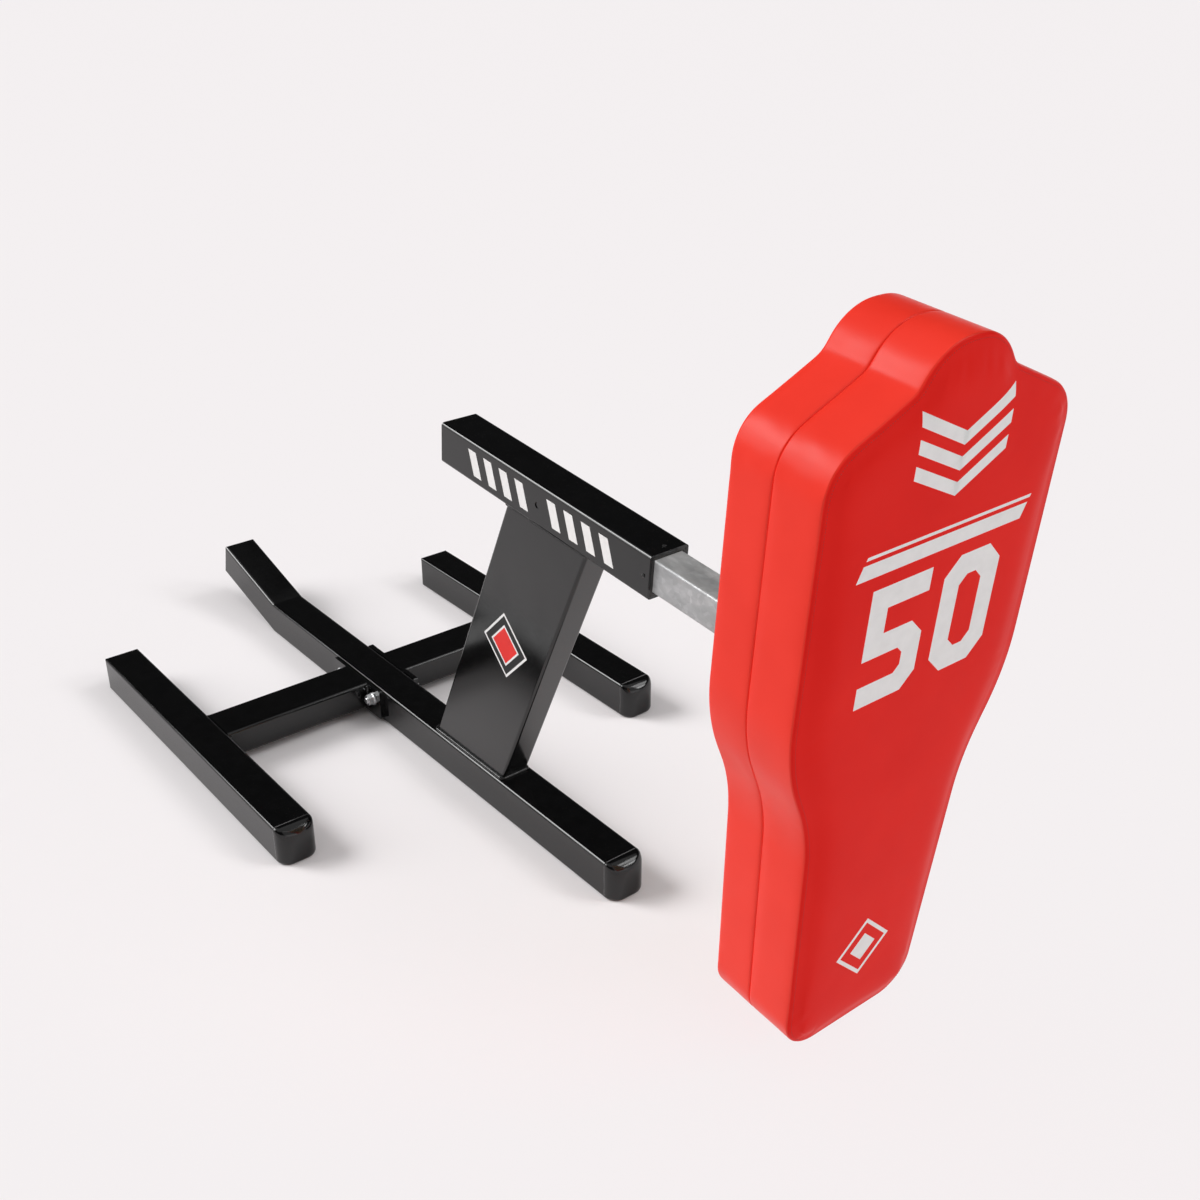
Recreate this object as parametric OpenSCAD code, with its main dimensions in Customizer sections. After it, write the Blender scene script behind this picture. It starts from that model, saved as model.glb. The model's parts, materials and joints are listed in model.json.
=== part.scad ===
// One-person blocking sled: three skids, a leaning box post and a square receiver, with a sprung
// arm that carries a man-shaped pad. Millimetres. +Y is the way the sled is pushed, +Z is up, and
// the origin is on the ground under the centre skid, where the axis of the cross tubes passes.

/* [Skids] */
// Side of the square skid tube
tube_w = 101.6; // [96:0.1:108]
// Wall of the skid tube
tube_wall = 6.35; // [4:0.05:8]
// Outer corner radius of the steel tubes
tube_r = 8; // [7:0.5:10]
// Distance from the cross tubes back to the trailing end of the centre skid
skid_tail = 1150; // [1080:1:1250]
// Distance from the cross tubes to the bend, along the underside
skid_bend = 548; // [480:1:620]
// Length of the bent-up nose along its underside
nose_len = 341; // [280:1:400]
// Rise of the nose in degrees
nose_angle = 14.9; // [10:0.1:20]
// Distance from the middle of the sled to the middle of a side skid
side_x = 538.3; // [480:0.1:600]
// Length of a side skid
side_len = 1086; // [980:1:1180]
// How far the side skids sit behind the cross tubes' axis
side_back = 6; // [0:1:20]

/* [End caps] */
// Length of a rounded end cap
cap_len = 38; // [36:1:50]
// Corner radius of a trailing cap seen from above
tail_plan_r = 27; // [20:1:34]
// Radius of the rolled top edge of a trailing cap
tail_top_r = 29; // [20:1:34]
// Radius of the bottom edge of a trailing cap
tail_bottom_r = 8; // [4:1:14]
// Corner radius of a leading cap seen from above
nose_plan_r = 11; // [8:1:20]
// Radius of the top edge of a leading cap
nose_top_r = 10; // [8:1:20]
// Radius of the bottom edge of a leading cap
nose_bottom_r = 16; // [12:1:24]
// Wall of the end caps
cap_wall = 6.5; // [4:0.5:9]

/* [Cross tubes] */
// Width of a cross tube along the sled
cross_w = 127; // [110:1:150]
// Height of a cross tube
cross_h = 76.2; // [70:0.1:82]
// Wall of the cross tubes
cross_wall = 6.35; // [4:0.05:8]
// Length of a flange plate along the sled
flange_len = 254; // [240:1:280]
// Height of a flange plate
flange_h = 88.9; // [84:0.1:95]
// Thickness of a flange plate
flange_t = 12.7; // [10:0.1:16]
// Corner radius of the flange plates
flange_r = 6; // [3:1:10]
// Distance between the two flange bolts
bolt_pitch = 177.8; // [172:0.1:200]
// Diameter of the flange bolts
bolt_d = 19.05; // [16:0.05:20]
// Clearance of a bolt in its hole, on the diameter
bolt_clear = 1.6; // [1:0.1:2]
// Outer diameter of the crush sleeves in the skid
sleeve_d = 31.75; // [28:0.05:38]
// Leg of the fillet welds
weld_leg = 7; // [4:0.5:9]

/* [Upright] */
// Width of the box post across the sled
post_w = 76.2; // [70:0.1:80]
// Depth of the box post, square to its edges
post_depth = 274; // [230:1:300]
// Wall of the box post
post_wall = 6.35; // [4:0.05:8]
// Lean of the post towards the pad, in degrees
post_lean = 24.8; // [18:0.1:28]
// Distance from the cross tubes back to the middle of the post's foot
post_back = 536.2; // [480:0.1:600]

/* [Receiver] */
// Distance from the cross tubes back to the middle of the receiver's mouth
mouth_back = 1254.8; // [1200:0.1:1300]
// Height of the middle of the mouth
mouth_h = 894.3; // [840:0.1:960]
// Rise of the receiver from its mouth forwards, in degrees
pitch = 4.7; // [3:0.1:7]
// Length of the receiver with the plate that closes it
receiver_len = 753; // [720:1:800]
// Wall of the receiver
receiver_wall = 6.35; // [5:0.05:8]
// Thickness of the plate that closes the receiver
closing_t = 6.35; // [5:0.05:10]
// Length of the liners in the mouth
liner_len = 150; // [110:1:180]
// Thickness of all liners
liner_t = 6; // [5:0.1:8]
// Running clearance between a liner and what slides on it
slide_clear = 0.35; // [0.3:0.05:0.5]
// Distance from the mouth to the liner screws
screw_back = 17; // [12:1:30]
// Shank diameter of the liner screws
screw_d = 4.8; // [4:0.1:6]
// Head diameter of the liner screws
screw_head_d = 9.5; // [8:0.1:12]

/* [Arm] */
// Side of the square arm
arm_w = 76.2; // [72:0.1:80]
// Wall of the arm
arm_wall = 6.35; // [4:0.05:8]
// Outer corner radius of the arm
arm_r = 6; // [5:0.5:8]
// Length of the arm inside the receiver at rest
arm_inside = 470; // [440:1:500]
// Distance from the mouth to the back of the pad at rest
arm_reach = 421; // [360:0.5:480]
// Thickness of the plate on the arm's inner end
end_plate_t = 9.5; // [6:0.1:14]
// Travel of the arm from rest to the end of its slot
stroke = 90; // [60:1:110]
// Distance from the stop pin to the arm's inner end at rest
pin_tail = 93.5; // [85:0.5:110]
// Diameter of the stop pin
pin_d = 15.8; // [12:0.1:18]
// Running clearance of the stop pin in its holes, on the radius
pin_clear = 0.06; // [0.04:0.01:0.1]
// Gap between the pin and the end of the slot at rest
pin_gap = 0.3; // [0.2:0.1:0.6]
// How deep the pin's ends sit below the receiver's sides
pin_sunk = 2; // [1:0.5:3]

/* [Spring] */
// Wire diameter of the spring
wire_d = 9; // [6:0.5:10]
// Outer diameter of the spring
spring_d = 66; // [60:1:70]
// Turns of the spring, with its two closed ends
spring_turns = 11; // [8:1:14]
// Diameter of the guide rod in the spring
guide_d = 25.4; // [20:0.1:30]
// How far the guide rod reaches past the arm's inner end at rest
guide_overlap = 36; // [24:1:44]
// Thickness of the disc that the spring stands on
guide_flange_t = 6; // [4:0.5:10]

/* [Pad fixing] */
// Width of the plate behind the pad
plate_w = 254; // [220:1:280]
// Height of the plate behind the pad
plate_h = 304.8; // [260:0.1:340]
// Thickness of the plate behind the pad
plate_t = 9.5; // [8:0.1:13]
// Distance of the pad bolts from the plate's edges
plate_edge = 28; // [22:1:40]
// Leg of the gussets on the arm
gusset_leg = 90; // [60:1:100]
// Thickness of the gussets
gusset_t = 9.5; // [6:0.1:13]
// Diameter of the pad bolts
pad_bolt_d = 9.5; // [8:0.1:12]
// Thickness of the plywood board
board_t = 19; // [15:0.5:22]
// Distance of the board's edge from the pad's edge
board_inset = 34; // [28:1:40]

/* [Pad] */
// Thickness of the pad without its crown
pad_t = 206.4; // [180:0.1:230]
// Share of the thickness in front of the seam, in millimetres
pad_front_t = 109; // [95:0.5:120]
// Height of the pad from the arm's axis up to the top of the head
pad_up = 711; // [690:1:740]
// Depth of the pad from the arm's axis down to its foot
pad_down = 718; // [690:1:760]
// Width of the pad at its foot
foot_w = 339; // [320:1:380]
// Corner radius at the foot
foot_r = 82; // [60:1:95]
// Width below the waist
leg_w = 410; // [380:1:430]
// Depth from the arm's axis to the lower turn of the waist
leg_turn = 162; // [150:1:180]
// Width at the chest
chest_w = 567; // [540:1:590]
// Height from the arm's axis to the upper turn of the waist
chest_turn = 15.5; // [0:0.5:30]
// Radius of the two turns of the waist
waist_r = 410; // [300:10:480]
// Width across the shoulders
shoulder_w = 582; // [560:1:600]
// Height of the shoulders above the arm's axis
shoulder_h = 559; // [545:1:575]
// Radius of the shoulders
shoulder_r = 88; // [60:1:100]
// Width of the neck
neck_w = 226; // [215:1:240]
// Height of the neck above the arm's axis
neck_h = 642; // [630:1:648]
// Radius of the hollow at the neck
neck_r = 35; // [20:1:50]
// Width of the head where its sides would meet its top
head_w = 149; // [140:1:160]
// Radius of the head
head_r = 112; // [80:1:115]
// Radius of the rolled edges of the pad
edge_r = 8; // [6:0.5:12]
// Rise of the striking face above its edges
crown = 7; // [3:1:12]
// Depth of the channel at the seam
seam_depth = 3; // [2:0.5:5]
// Half the width of the seam channel
seam_half = 3; // [2:0.5:5]
// How far each side wall swells between its seams
side_swell = 2.5; // [1:0.5:4]

/* [Hidden] */

steel_black = [0.07, 0.07, 0.07];
zinc = [0.72, 0.73, 0.75];
galvanised = [0.62, 0.64, 0.65];
liner_black = [0.12, 0.12, 0.12];
plywood = [0.72, 0.58, 0.4];
pad_red = [0.85, 0.13, 0.1];
spring_grey = [0.35, 0.36, 0.38];

$fn = 48;
past = 1;
reach = 3000;
inner_r_min = 1.5;
touch = 0.3;

bolt_hole_d = bolt_d + bolt_clear;
bolt_z = tube_w - cross_h / 2;
bolt_af = 1.5 * bolt_d;
bolt_head_h = 0.63 * bolt_d;
nut_h = 0.855 * bolt_d;
washer_d = 1.95 * bolt_d;
washer_t = 3;
bolt_end = 4;
flange_face_x = tube_w / 2 + flange_t;
cross_end_x = side_x - tube_w / 2;

receiver_w = arm_w + 2 * (slide_clear + liner_t + receiver_wall);
receiver_in = receiver_w - 2 * receiver_wall;
pin_y = arm_inside - pin_tail;
slot_h = pin_d + 2 * (pin_gap + slide_clear);
slot_from = pin_y - pin_d / 2 - pin_gap - stroke;
slot_to = pin_y + pin_d / 2 + pin_gap;
slot_margin = 12;
arm_liner_from = slot_to + slot_margin;
arm_liner_to = arm_inside - end_plate_t - slide_clear;
arm_screw_y = (arm_liner_from + arm_liner_to) / 2;
screw_head_h = 2.4;
screw_bite = 4;
sunk_head_h = 2.6;
guide_flange_d = spring_d + 6;
guide_hole_d = guide_d + 3;
guide_base_y = receiver_len - closing_t;
spring_base_y = guide_base_y - guide_flange_t;
spring_from = arm_inside + touch;
spring_to = spring_base_y - touch;

plate_bolt_x = plate_w / 2 - plate_edge;
plate_bolt_z = plate_h / 2 - plate_edge;
plate_r = 16;
plate_face_y = -arm_reach + plate_t;
pad_washer_d = 2.4 * pad_bolt_d;
pad_washer_t = 2;
pad_bolt_af = 1.5 * pad_bolt_d;
pad_bolt_head_h = 0.63 * pad_bolt_d;
pad_bolt_clear = 0.8;
t_nut_d = 24;
t_nut_t = 1.8;
t_nut_barrel_d = pad_bolt_d + 4;
t_nut_barrel = 13;
thread_clear = 0.08;
pad_front_y = -arm_reach - pad_t;
seam_y = pad_front_y + pad_front_t;
rear_t = pad_t - pad_front_t;
board_pocket = board_t + t_nut_t + touch;

// Flat outlines and simple bars

module rounded_rect(w, h, r) {
    square([w - 2 * r, h], center = true);
    square([w, h - 2 * r], center = true);
    for (sx = [-1, 1], sy = [-1, 1])
        translate([sx * (w / 2 - r), sy * (h / 2 - r)]) circle(r);
}

// A bar along +Y from y = 0, centred on the Y axis
module bar(w, h, len, r) {
    rotate([-90, 0, 0]) linear_extrude(len) rounded_rect(w, h, r);
}

module box_tube(w, h, len, wall, r) {
    difference() {
        bar(w, h, len, r);
        translate([0, -past, 0])
            bar(w - 2 * wall, h - 2 * wall, len + 2 * past, max(r - wall, inner_r_min));
    }
}

// What is cut off a square corner at [0, 0] to leave a round of radius r
module corner_waste(r) {
    difference() {
        translate([-past, -past]) square(r + past);
        translate([r, r]) circle(r);
    }
}

module hex_bar(af, h) {
    cylinder(d = af / cos(30), h = h, $fn = 6);
}

// Everything in front of the plane through a point on the X axis, tilted up by angle a
module ahead_of(a) {
    rotate([a, 0, 0]) translate([-reach / 2, 0, -reach / 2]) cube(reach);
}

// The receiver's own frame: origin in the middle of the mouth, +Y along the receiver
module along_receiver() {
    translate([0, -mouth_back, mouth_h]) rotate([pitch, 0, 0]) children();
}

// Skids and their caps

// A block w across, level with the middle of the skid tube: its flat back is at y = 0, and its
// other end is rounded at the sides, the top and the bottom
module cap_form(w, len, section_r, plan_r, top_r, bottom_r) {
    low = (tube_w - w) / 2;
    intersection() {
        translate([0, 0, tube_w / 2]) bar(w, w, len, section_r);
        linear_extrude(tube_w) difference() {
            translate([-w / 2, 0]) square([w, len]);
            for (s = [0, 1]) mirror([s, 0])
                translate([-w / 2, len]) mirror([0, 1]) corner_waste(plan_r);
        }
        translate([-tube_w / 2, 0, 0]) rotate([90, 0, 90]) linear_extrude(tube_w) difference() {
            translate([0, low]) square([len, w]);
            translate([len, tube_w - low]) mirror([1, 0]) mirror([0, 1]) corner_waste(top_r);
            translate([len, low]) mirror([1, 0]) corner_waste(bottom_r);
        }
    }
}

function inside(r) = max(r - cap_wall, inner_r_min);

// A hollow plug that closes a skid
module end_cap(plan_r, top_r, bottom_r) {
    difference() {
        cap_form(tube_w, cap_len, tube_r, plan_r, top_r, bottom_r);
        translate([0, -past, 0])
            cap_form(tube_w - 2 * cap_wall, cap_len - cap_wall + past, inside(tube_r),
                inside(plan_r), inside(top_r), inside(bottom_r));
    }
}

module trailing_cap() mirror([0, 1, 0]) end_cap(tail_plan_r, tail_top_r, tail_bottom_r);
module leading_cap() end_cap(nose_plan_r, nose_top_r, nose_bottom_r);

module skid_tube(len) {
    translate([0, 0, tube_w / 2]) box_tube(tube_w, tube_w, len, tube_wall, tube_r);
}

module centre_skid() color(steel_black) difference() {
    translate([0, cap_len - skid_tail, 0]) skid_tube(skid_tail - cap_len + skid_bend);
    translate([0, skid_bend, 0]) ahead_of(nose_angle / 2);
    for (s = [-1, 1])
        translate([0, s * bolt_pitch / 2, bolt_z]) rotate([0, 90, 0])
            cylinder(d = bolt_hole_d, h = tube_w + 2 * past, center = true);
}

module centre_nose() color(steel_black) translate([0, skid_bend, 0]) intersection() {
    rotate([nose_angle, 0, 0]) translate([0, -tube_w, 0])
        skid_tube(tube_w + nose_len - cap_len);
    ahead_of(nose_angle / 2);
}

module centre_tail_cap() color(steel_black)
    translate([0, cap_len - skid_tail, 0]) trailing_cap();

module centre_nose_cap() color(steel_black)
    translate([0, skid_bend, 0]) rotate([nose_angle, 0, 0])
        translate([0, nose_len - cap_len, 0]) leading_cap();

// A side skid is placed by its side: -1 for the left one, 1 for the right one
module side_skid(side) color(steel_black)
    translate([side * side_x, cap_len - side_len / 2 - side_back, 0])
        skid_tube(side_len - 2 * cap_len);

module side_tail_cap(side) color(steel_black)
    translate([side * side_x, cap_len - side_len / 2 - side_back, 0]) trailing_cap();

module side_nose_cap(side) color(steel_black)
    translate([side * side_x, side_len / 2 - side_back - cap_len, 0]) leading_cap();

module left_skid() side_skid(-1);
module right_skid() side_skid(1);
module left_tail_cap() side_tail_cap(-1);
module right_tail_cap() side_tail_cap(1);
module left_nose_cap() side_nose_cap(-1);
module right_nose_cap() side_nose_cap(1);

// Cross tubes, flanges and their bolts

module cross_tube(side) color(steel_black) mirror([side < 0 ? 1 : 0, 0, 0])
    translate([flange_face_x, 0, tube_w - cross_h / 2]) rotate([0, 0, -90])
        box_tube(cross_w, cross_h, cross_end_x - flange_face_x, cross_wall, tube_r);

module flange(side) color(steel_black) mirror([side < 0 ? 1 : 0, 0, 0]) difference() {
    translate([tube_w / 2, 0, tube_w - flange_h / 2]) rotate([0, 90, 0])
        linear_extrude(flange_t) rounded_rect(flange_h, flange_len, flange_r);
    for (s = [-1, 1])
        translate([tube_w / 2 - past, s * bolt_pitch / 2, bolt_z]) rotate([0, 90, 0])
            cylinder(d = bolt_hole_d, h = flange_t + 2 * past);
}

// A low block with four slopes that stands on z = 0, for the fillet weld round a w by d bar
module weld_block(w, d, leg) {
    intersection() {
        translate([0, -d / 2 - leg, 0]) rotate([-90, 0, 0]) linear_extrude(d + 2 * leg)
            weld_slope(w, leg);
        translate([-w / 2 - leg, 0, 0]) rotate([-90, 0, -90]) linear_extrude(w + 2 * leg)
            weld_slope(d, leg);
    }
}

module weld_ring(w, d, leg, r) {
    difference() {
        weld_block(w, d, leg);
        translate([0, 0, -past]) linear_extrude(leg + 2 * past) rounded_rect(w, d, r);
    }
}

module weld_slope(w, leg) {
    polygon([[-w / 2 - leg, 0], [w / 2 + leg, 0], [w / 2, -leg], [-w / 2, -leg]]);
}

// The welds of the cross tubes are ground off level with the tops of the skids
module cross_tube_welds() color(steel_black) difference() {
    for (side = [0, 1]) mirror([side, 0, 0]) {
        translate([flange_face_x, 0, tube_w - cross_h / 2]) rotate([0, 90, 0])
            weld_ring(cross_h, cross_w, weld_leg, tube_r);
        translate([cross_end_x, 0, tube_w - cross_h / 2]) rotate([0, -90, 0])
            weld_ring(cross_h, cross_w, weld_leg, tube_r);
    }
    translate([-reach / 2, -reach / 2, tube_w]) cube(reach);
}

module left_cross_tube() cross_tube(-1);
module right_cross_tube() cross_tube(1);
module left_flange() flange(-1);
module right_flange() flange(1);

module at_bolts() {
    for (s = [-1, 1]) translate([0, s * bolt_pitch / 2, bolt_z]) rotate([0, 90, 0]) children();
}

module bolt_sleeves() color(zinc) at_bolts() difference() {
    cylinder(d = sleeve_d, h = tube_w - 2 * tube_wall, center = true);
    cylinder(d = bolt_hole_d, h = tube_w, center = true);
}

module flange_bolts() color(zinc) at_bolts() {
    translate([0, 0, flange_face_x + washer_t]) hex_bar(bolt_af, bolt_head_h);
    translate([0, 0, -flange_face_x - washer_t - nut_h - bolt_end])
        cylinder(d = bolt_d, h = 2 * (flange_face_x + washer_t) + nut_h + bolt_end);
}

module flange_washers() color(zinc) at_bolts() for (s = [0, 1]) mirror([0, 0, s])
    translate([0, 0, flange_face_x]) difference() {
        cylinder(d = washer_d, h = washer_t);
        translate([0, 0, -past]) cylinder(d = bolt_hole_d, h = washer_t + 2 * past);
    }

module flange_nuts() color(zinc) at_bolts()
    translate([0, 0, -flange_face_x - washer_t - nut_h]) difference() {
        hex_bar(bolt_af, nut_h);
        translate([0, 0, -past]) cylinder(d = bolt_d + 2 * thread_clear, h = nut_h + 2 * past);
    }

// Upright

// The post runs from well below its foot to well above the receiver before it is cut
module leaning_bar(w, d, r) {
    translate([0, -post_back, tube_w]) rotate([post_lean, 0, 0])
        translate([0, 0, -reach / 4]) linear_extrude(reach) rounded_rect(w, d, r);
}

// What lies over the centre skid and under the receiver
module under_receiver(lift) {
    rotate([90, 0, 90]) translate([0, 0, -reach / 2]) linear_extrude(reach)
        polygon([[-reach, tube_w], [reach, tube_w],
            [reach, belly_z(reach) - lift], [-reach, belly_z(-reach) - lift]]);
}

// Height of the receiver's underside over the point y
function belly_z(y) = mouth_h - receiver_w / 2 / cos(pitch) + (y + mouth_back) * tan(pitch);

module upright() color(steel_black) difference() {
    intersection() {
        leaning_bar(post_w, post_depth, tube_r);
        under_receiver(0);
    }
    leaning_bar(post_w - 2 * post_wall, post_depth - 2 * post_wall,
        max(tube_r - post_wall, inner_r_min));
}

module foot_weld() color(steel_black) difference() {
    translate([0, -post_back, tube_w])
        weld_block(post_w, post_depth / cos(post_lean), weld_leg);
    leaning_bar(post_w, post_depth, tube_r);
}

// Where the post's axis meets the receiver's underside, along the receiver
head_y = (mouth_back - post_back - (belly_z(-post_back) - tube_w) * tan(post_lean)
    / (1 + tan(post_lean) * tan(pitch))) / cos(pitch) - receiver_w / 2 * tan(pitch);

module head_weld() color(steel_black) difference() {
    along_receiver() translate([0, head_y, -receiver_w / 2]) mirror([0, 0, 1])
        weld_block(post_w, post_depth / cos(post_lean - pitch), weld_leg);
    leaning_bar(post_w, post_depth, tube_r);
}

// Receiver, its liners, the stop pin and the spring

// Screw axes on the four faces of the arm and the receiver, with z outwards from the axis
module on_four_faces(y) {
    for (a = [0:90:270]) rotate([0, a, 0]) translate([0, y, 0]) children();
}

module pin_bore(d, w) {
    translate([0, pin_y, 0]) rotate([0, 90, 0]) cylinder(d = d, h = w, center = true);
}

module receiver() color(steel_black) along_receiver() difference() {
    box_tube(receiver_w, receiver_w, receiver_len - closing_t, receiver_wall, tube_r);
    on_four_faces(screw_back)
        cylinder(d = screw_d + 2 * thread_clear, h = receiver_w);
    pin_bore(pin_d + 2 * pin_clear, receiver_w + 2 * past);
}

module receiver_end_plate() color(steel_black) along_receiver()
    translate([0, receiver_len - closing_t, 0]) bar(receiver_w, receiver_w, closing_t, tube_r);

// A liner strip on one wall of the receiver; the wall is a quarter turn times quarter
module mouth_liner(quarter, width) color(liner_black) along_receiver()
    rotate([0, quarter * 90, 0]) difference() {
        translate([-width / 2, 0, receiver_in / 2 - liner_t])
            cube([width, liner_len, liner_t - touch / 3]);
        translate([0, screw_back, 0]) cylinder(d = screw_d + 2 * thread_clear, h = receiver_w);
    }

wide_liner = receiver_in - 2 * inner_r_min;
narrow_liner = receiver_in - 2 * liner_t - 2 * touch;

module mouth_liner_top() mouth_liner(0, wide_liner);
module mouth_liner_right() mouth_liner(1, narrow_liner);
module mouth_liner_bottom() mouth_liner(2, wide_liner);
module mouth_liner_left() mouth_liner(3, narrow_liner);

module mouth_liner_screws() color(steel_black) along_receiver() on_four_faces(screw_back) {
    translate([0, 0, receiver_w / 2]) intersection() {
        cylinder(d = screw_head_d, h = screw_head_h);
        translate([0, 0, screw_head_h - screw_head_d]) sphere(screw_head_d);
    }
    translate([0, 0, receiver_w / 2 - receiver_wall - screw_bite])
        cylinder(d = screw_d, h = receiver_wall + screw_bite);
}

module stop_pin() color(steel_black) along_receiver()
    pin_bore(pin_d, receiver_w - 2 * pin_sunk);

module spring_guide() color(steel_black) along_receiver() translate([0, guide_base_y, 0])
    rotate([90, 0, 0]) {
        cylinder(d = guide_flange_d, h = guide_flange_t);
        cylinder(d = guide_d, h = guide_base_y - arm_inside + guide_overlap);
    }

// Spring: one helix whose first and last turns lie close together
coil_steps = 16;
coil_sides = 8;
coil_r = (spring_d - wire_d) / 2;
closed_pitch = wire_d + 0.8;
open_pitch = (spring_to - spring_from - wire_d - 2 * closed_pitch) / (spring_turns - 2);

// Height of the wire's axis after t turns
function coil_y(t) = t < 1 ? t * closed_pitch
    : t > spring_turns - 1
        ? closed_pitch + (spring_turns - 2) * open_pitch + (t - spring_turns + 1) * closed_pitch
        : closed_pitch + (t - 1) * open_pitch;
function coil_point(i, j) =
    let (t = i / coil_steps, a = 360 * t, b = 360 * j / coil_sides,
        r = coil_r + wire_d / 2 * cos(b))
    [r * cos(a), spring_from + wire_d / 2 + coil_y(t) + wire_d / 2 * sin(b), r * sin(a)];
coil_rings = spring_turns * coil_steps;
coil_gap = min([for (i = [0:coil_rings - coil_steps])
    coil_y(i / coil_steps + 1) - coil_y(i / coil_steps)]) - wire_d;
echo(least_gap_of_the_spring = coil_gap);

module spring() color(spring_grey) along_receiver() tube_mesh(
    [for (i = [0:coil_rings]) [for (j = [0:coil_sides - 1]) coil_point(i, j)]]);

// A closed mesh through rings with equal counts of points, its ends closed by strips
module tube_mesh(rings) {
    n = len(rings[0]);
    last = (len(rings) - 1) * n;
    points = [for (ring = rings) each ring];
    sides = [for (i = [0:len(rings) - 2], j = [0:n - 1])
        each [[i * n + j, i * n + (j + 1) % n, (i + 1) * n + (j + 1) % n],
            [i * n + j, (i + 1) * n + (j + 1) % n, (i + 1) * n + j]]];
    polyhedron(points, concat(sides, strip_cap(n, 0, true), strip_cap(n, last, false)));
}

// Triangles across a ring whose point j faces point n - 1 - j
function strip_cap(n, first, flip) = [for (j = [0:n / 2 - 2])
    let (a = first + j, b = a + 1, c = first + n - 2 - j, d = c + 1)
    each flip ? [[a, c, b], [a, d, c]] : [[a, b, c], [a, c, d]]];

// Arm

module arm() color(galvanised) along_receiver() difference() {
    translate([0, plate_face_y, 0])
        box_tube(arm_w, arm_w, arm_inside - end_plate_t - plate_face_y, arm_wall, arm_r);
    for (y = [slot_from + slot_h / 2, slot_to - slot_h / 2])
        translate([0, y, 0]) rotate([0, 90, 0])
            cylinder(d = slot_h, h = arm_w + 2 * past, center = true);
    translate([-arm_w / 2 - past, slot_from + slot_h / 2, -slot_h / 2])
        cube([arm_w + 2 * past, slot_to - slot_from - slot_h, slot_h]);
    on_four_faces(arm_screw_y) cylinder(d = screw_d + 2 * thread_clear, h = arm_w);
}

module arm_end_plate() color(galvanised) along_receiver()
    translate([0, arm_inside - end_plate_t, 0]) difference() {
        bar(arm_w, arm_w, end_plate_t, arm_r);
        rotate([90, 0, 0])
            cylinder(d = guide_hole_d, h = 2 * (end_plate_t + past), center = true);
    }

module arm_liner(quarter) color(liner_black) along_receiver() rotate([0, quarter * 90, 0])
    difference() {
        translate([arm_r - arm_w / 2, arm_liner_from, arm_w / 2])
            cube([arm_w - 2 * arm_r, arm_liner_to - arm_liner_from, liner_t]);
        translate([0, arm_screw_y, 0]) cylinder(d = screw_d + 2 * thread_clear, h = arm_w);
        translate([0, arm_screw_y, arm_w / 2 + liner_t - sunk_head_h - touch])
            cylinder(d = screw_head_d + touch, h = liner_t);
    }

module arm_liner_top() arm_liner(0);
module arm_liner_right() arm_liner(1);
module arm_liner_bottom() arm_liner(2);
module arm_liner_left() arm_liner(3);

module arm_liner_screws() color(zinc) along_receiver() on_four_faces(arm_screw_y) {
    translate([0, 0, arm_w / 2 + liner_t - sunk_head_h - touch])
        cylinder(d = screw_head_d, h = sunk_head_h);
    translate([0, 0, arm_w / 2 - arm_wall])
        cylinder(d = screw_d, h = arm_wall + liner_t - sunk_head_h - touch);
}

// Plate behind the pad, and what holds the pad on it

module at_pad_bolts() {
    for (sx = [-1, 1], sz = [-1, 1])
        translate([sx * plate_bolt_x, 0, sz * plate_bolt_z]) rotate([-90, 0, 0]) children();
}

module pad_plate() color(galvanised) along_receiver() translate([0, -arm_reach, 0]) difference() {
    bar(plate_w, plate_h, plate_t, plate_r);
    at_pad_bolts() translate([0, 0, -past])
        cylinder(d = pad_bolt_d + pad_bolt_clear, h = plate_t + 2 * past);
}

// Three-cornered gussets over and under the arm, with their sharp tips cut off
module pad_gussets() color(galvanised) along_receiver() for (s = [0, 1]) mirror([0, 0, s])
    translate([-gusset_t / 2, plate_face_y, arm_w / 2]) rotate([90, 0, 90])
        linear_extrude(gusset_t)
            polygon([[0, 0], [gusset_leg, 0], [gusset_leg, gusset_t],
                [gusset_t, gusset_leg * 0.75], [0, gusset_leg * 0.75]]);

module pad_washers() color(zinc) along_receiver() translate([0, plate_face_y, 0])
    at_pad_bolts() difference() {
        cylinder(d = pad_washer_d, h = pad_washer_t);
        translate([0, 0, -past])
            cylinder(d = pad_bolt_d + pad_bolt_clear, h = pad_washer_t + 2 * past);
    }

module pad_bolts() color(zinc) along_receiver()
    translate([0, plate_face_y + pad_washer_t, 0]) at_pad_bolts() {
        hex_bar(pad_bolt_af, pad_bolt_head_h);
        translate([0, 0, -pad_washer_t - plate_t - board_t])
            cylinder(d = pad_bolt_d, h = pad_washer_t + plate_t + board_t);
    }

module pad_t_nuts() color(zinc) along_receiver()
    translate([0, -arm_reach - board_t, 0]) at_pad_bolts() difference() {
        union() {
            translate([0, 0, -t_nut_t]) cylinder(d = t_nut_d, h = t_nut_t);
            translate([0, 0, -t_nut_t]) cylinder(d = t_nut_barrel_d, h = t_nut_barrel);
        }
        translate([0, 0, -t_nut_t - past])
            cylinder(d = pad_bolt_d + 2 * thread_clear, h = t_nut_barrel + 2 * past);
    }

module pad_board() color(plywood) along_receiver() difference() {
    translate([0, -arm_reach - board_t, 0]) rotate([-90, 0, 0]) linear_extrude(board_t)
        mirror([0, 1]) polygon(pad_outline(board_inset));
    translate([0, -arm_reach - board_t, 0]) at_pad_bolts() {
        translate([0, 0, -past]) cylinder(d = pad_bolt_d + pad_bolt_clear, h = board_t + 2 * past);
        translate([0, 0, -past]) cylinder(d = t_nut_barrel_d + touch, h = t_nut_barrel + past);
    }
}

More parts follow.
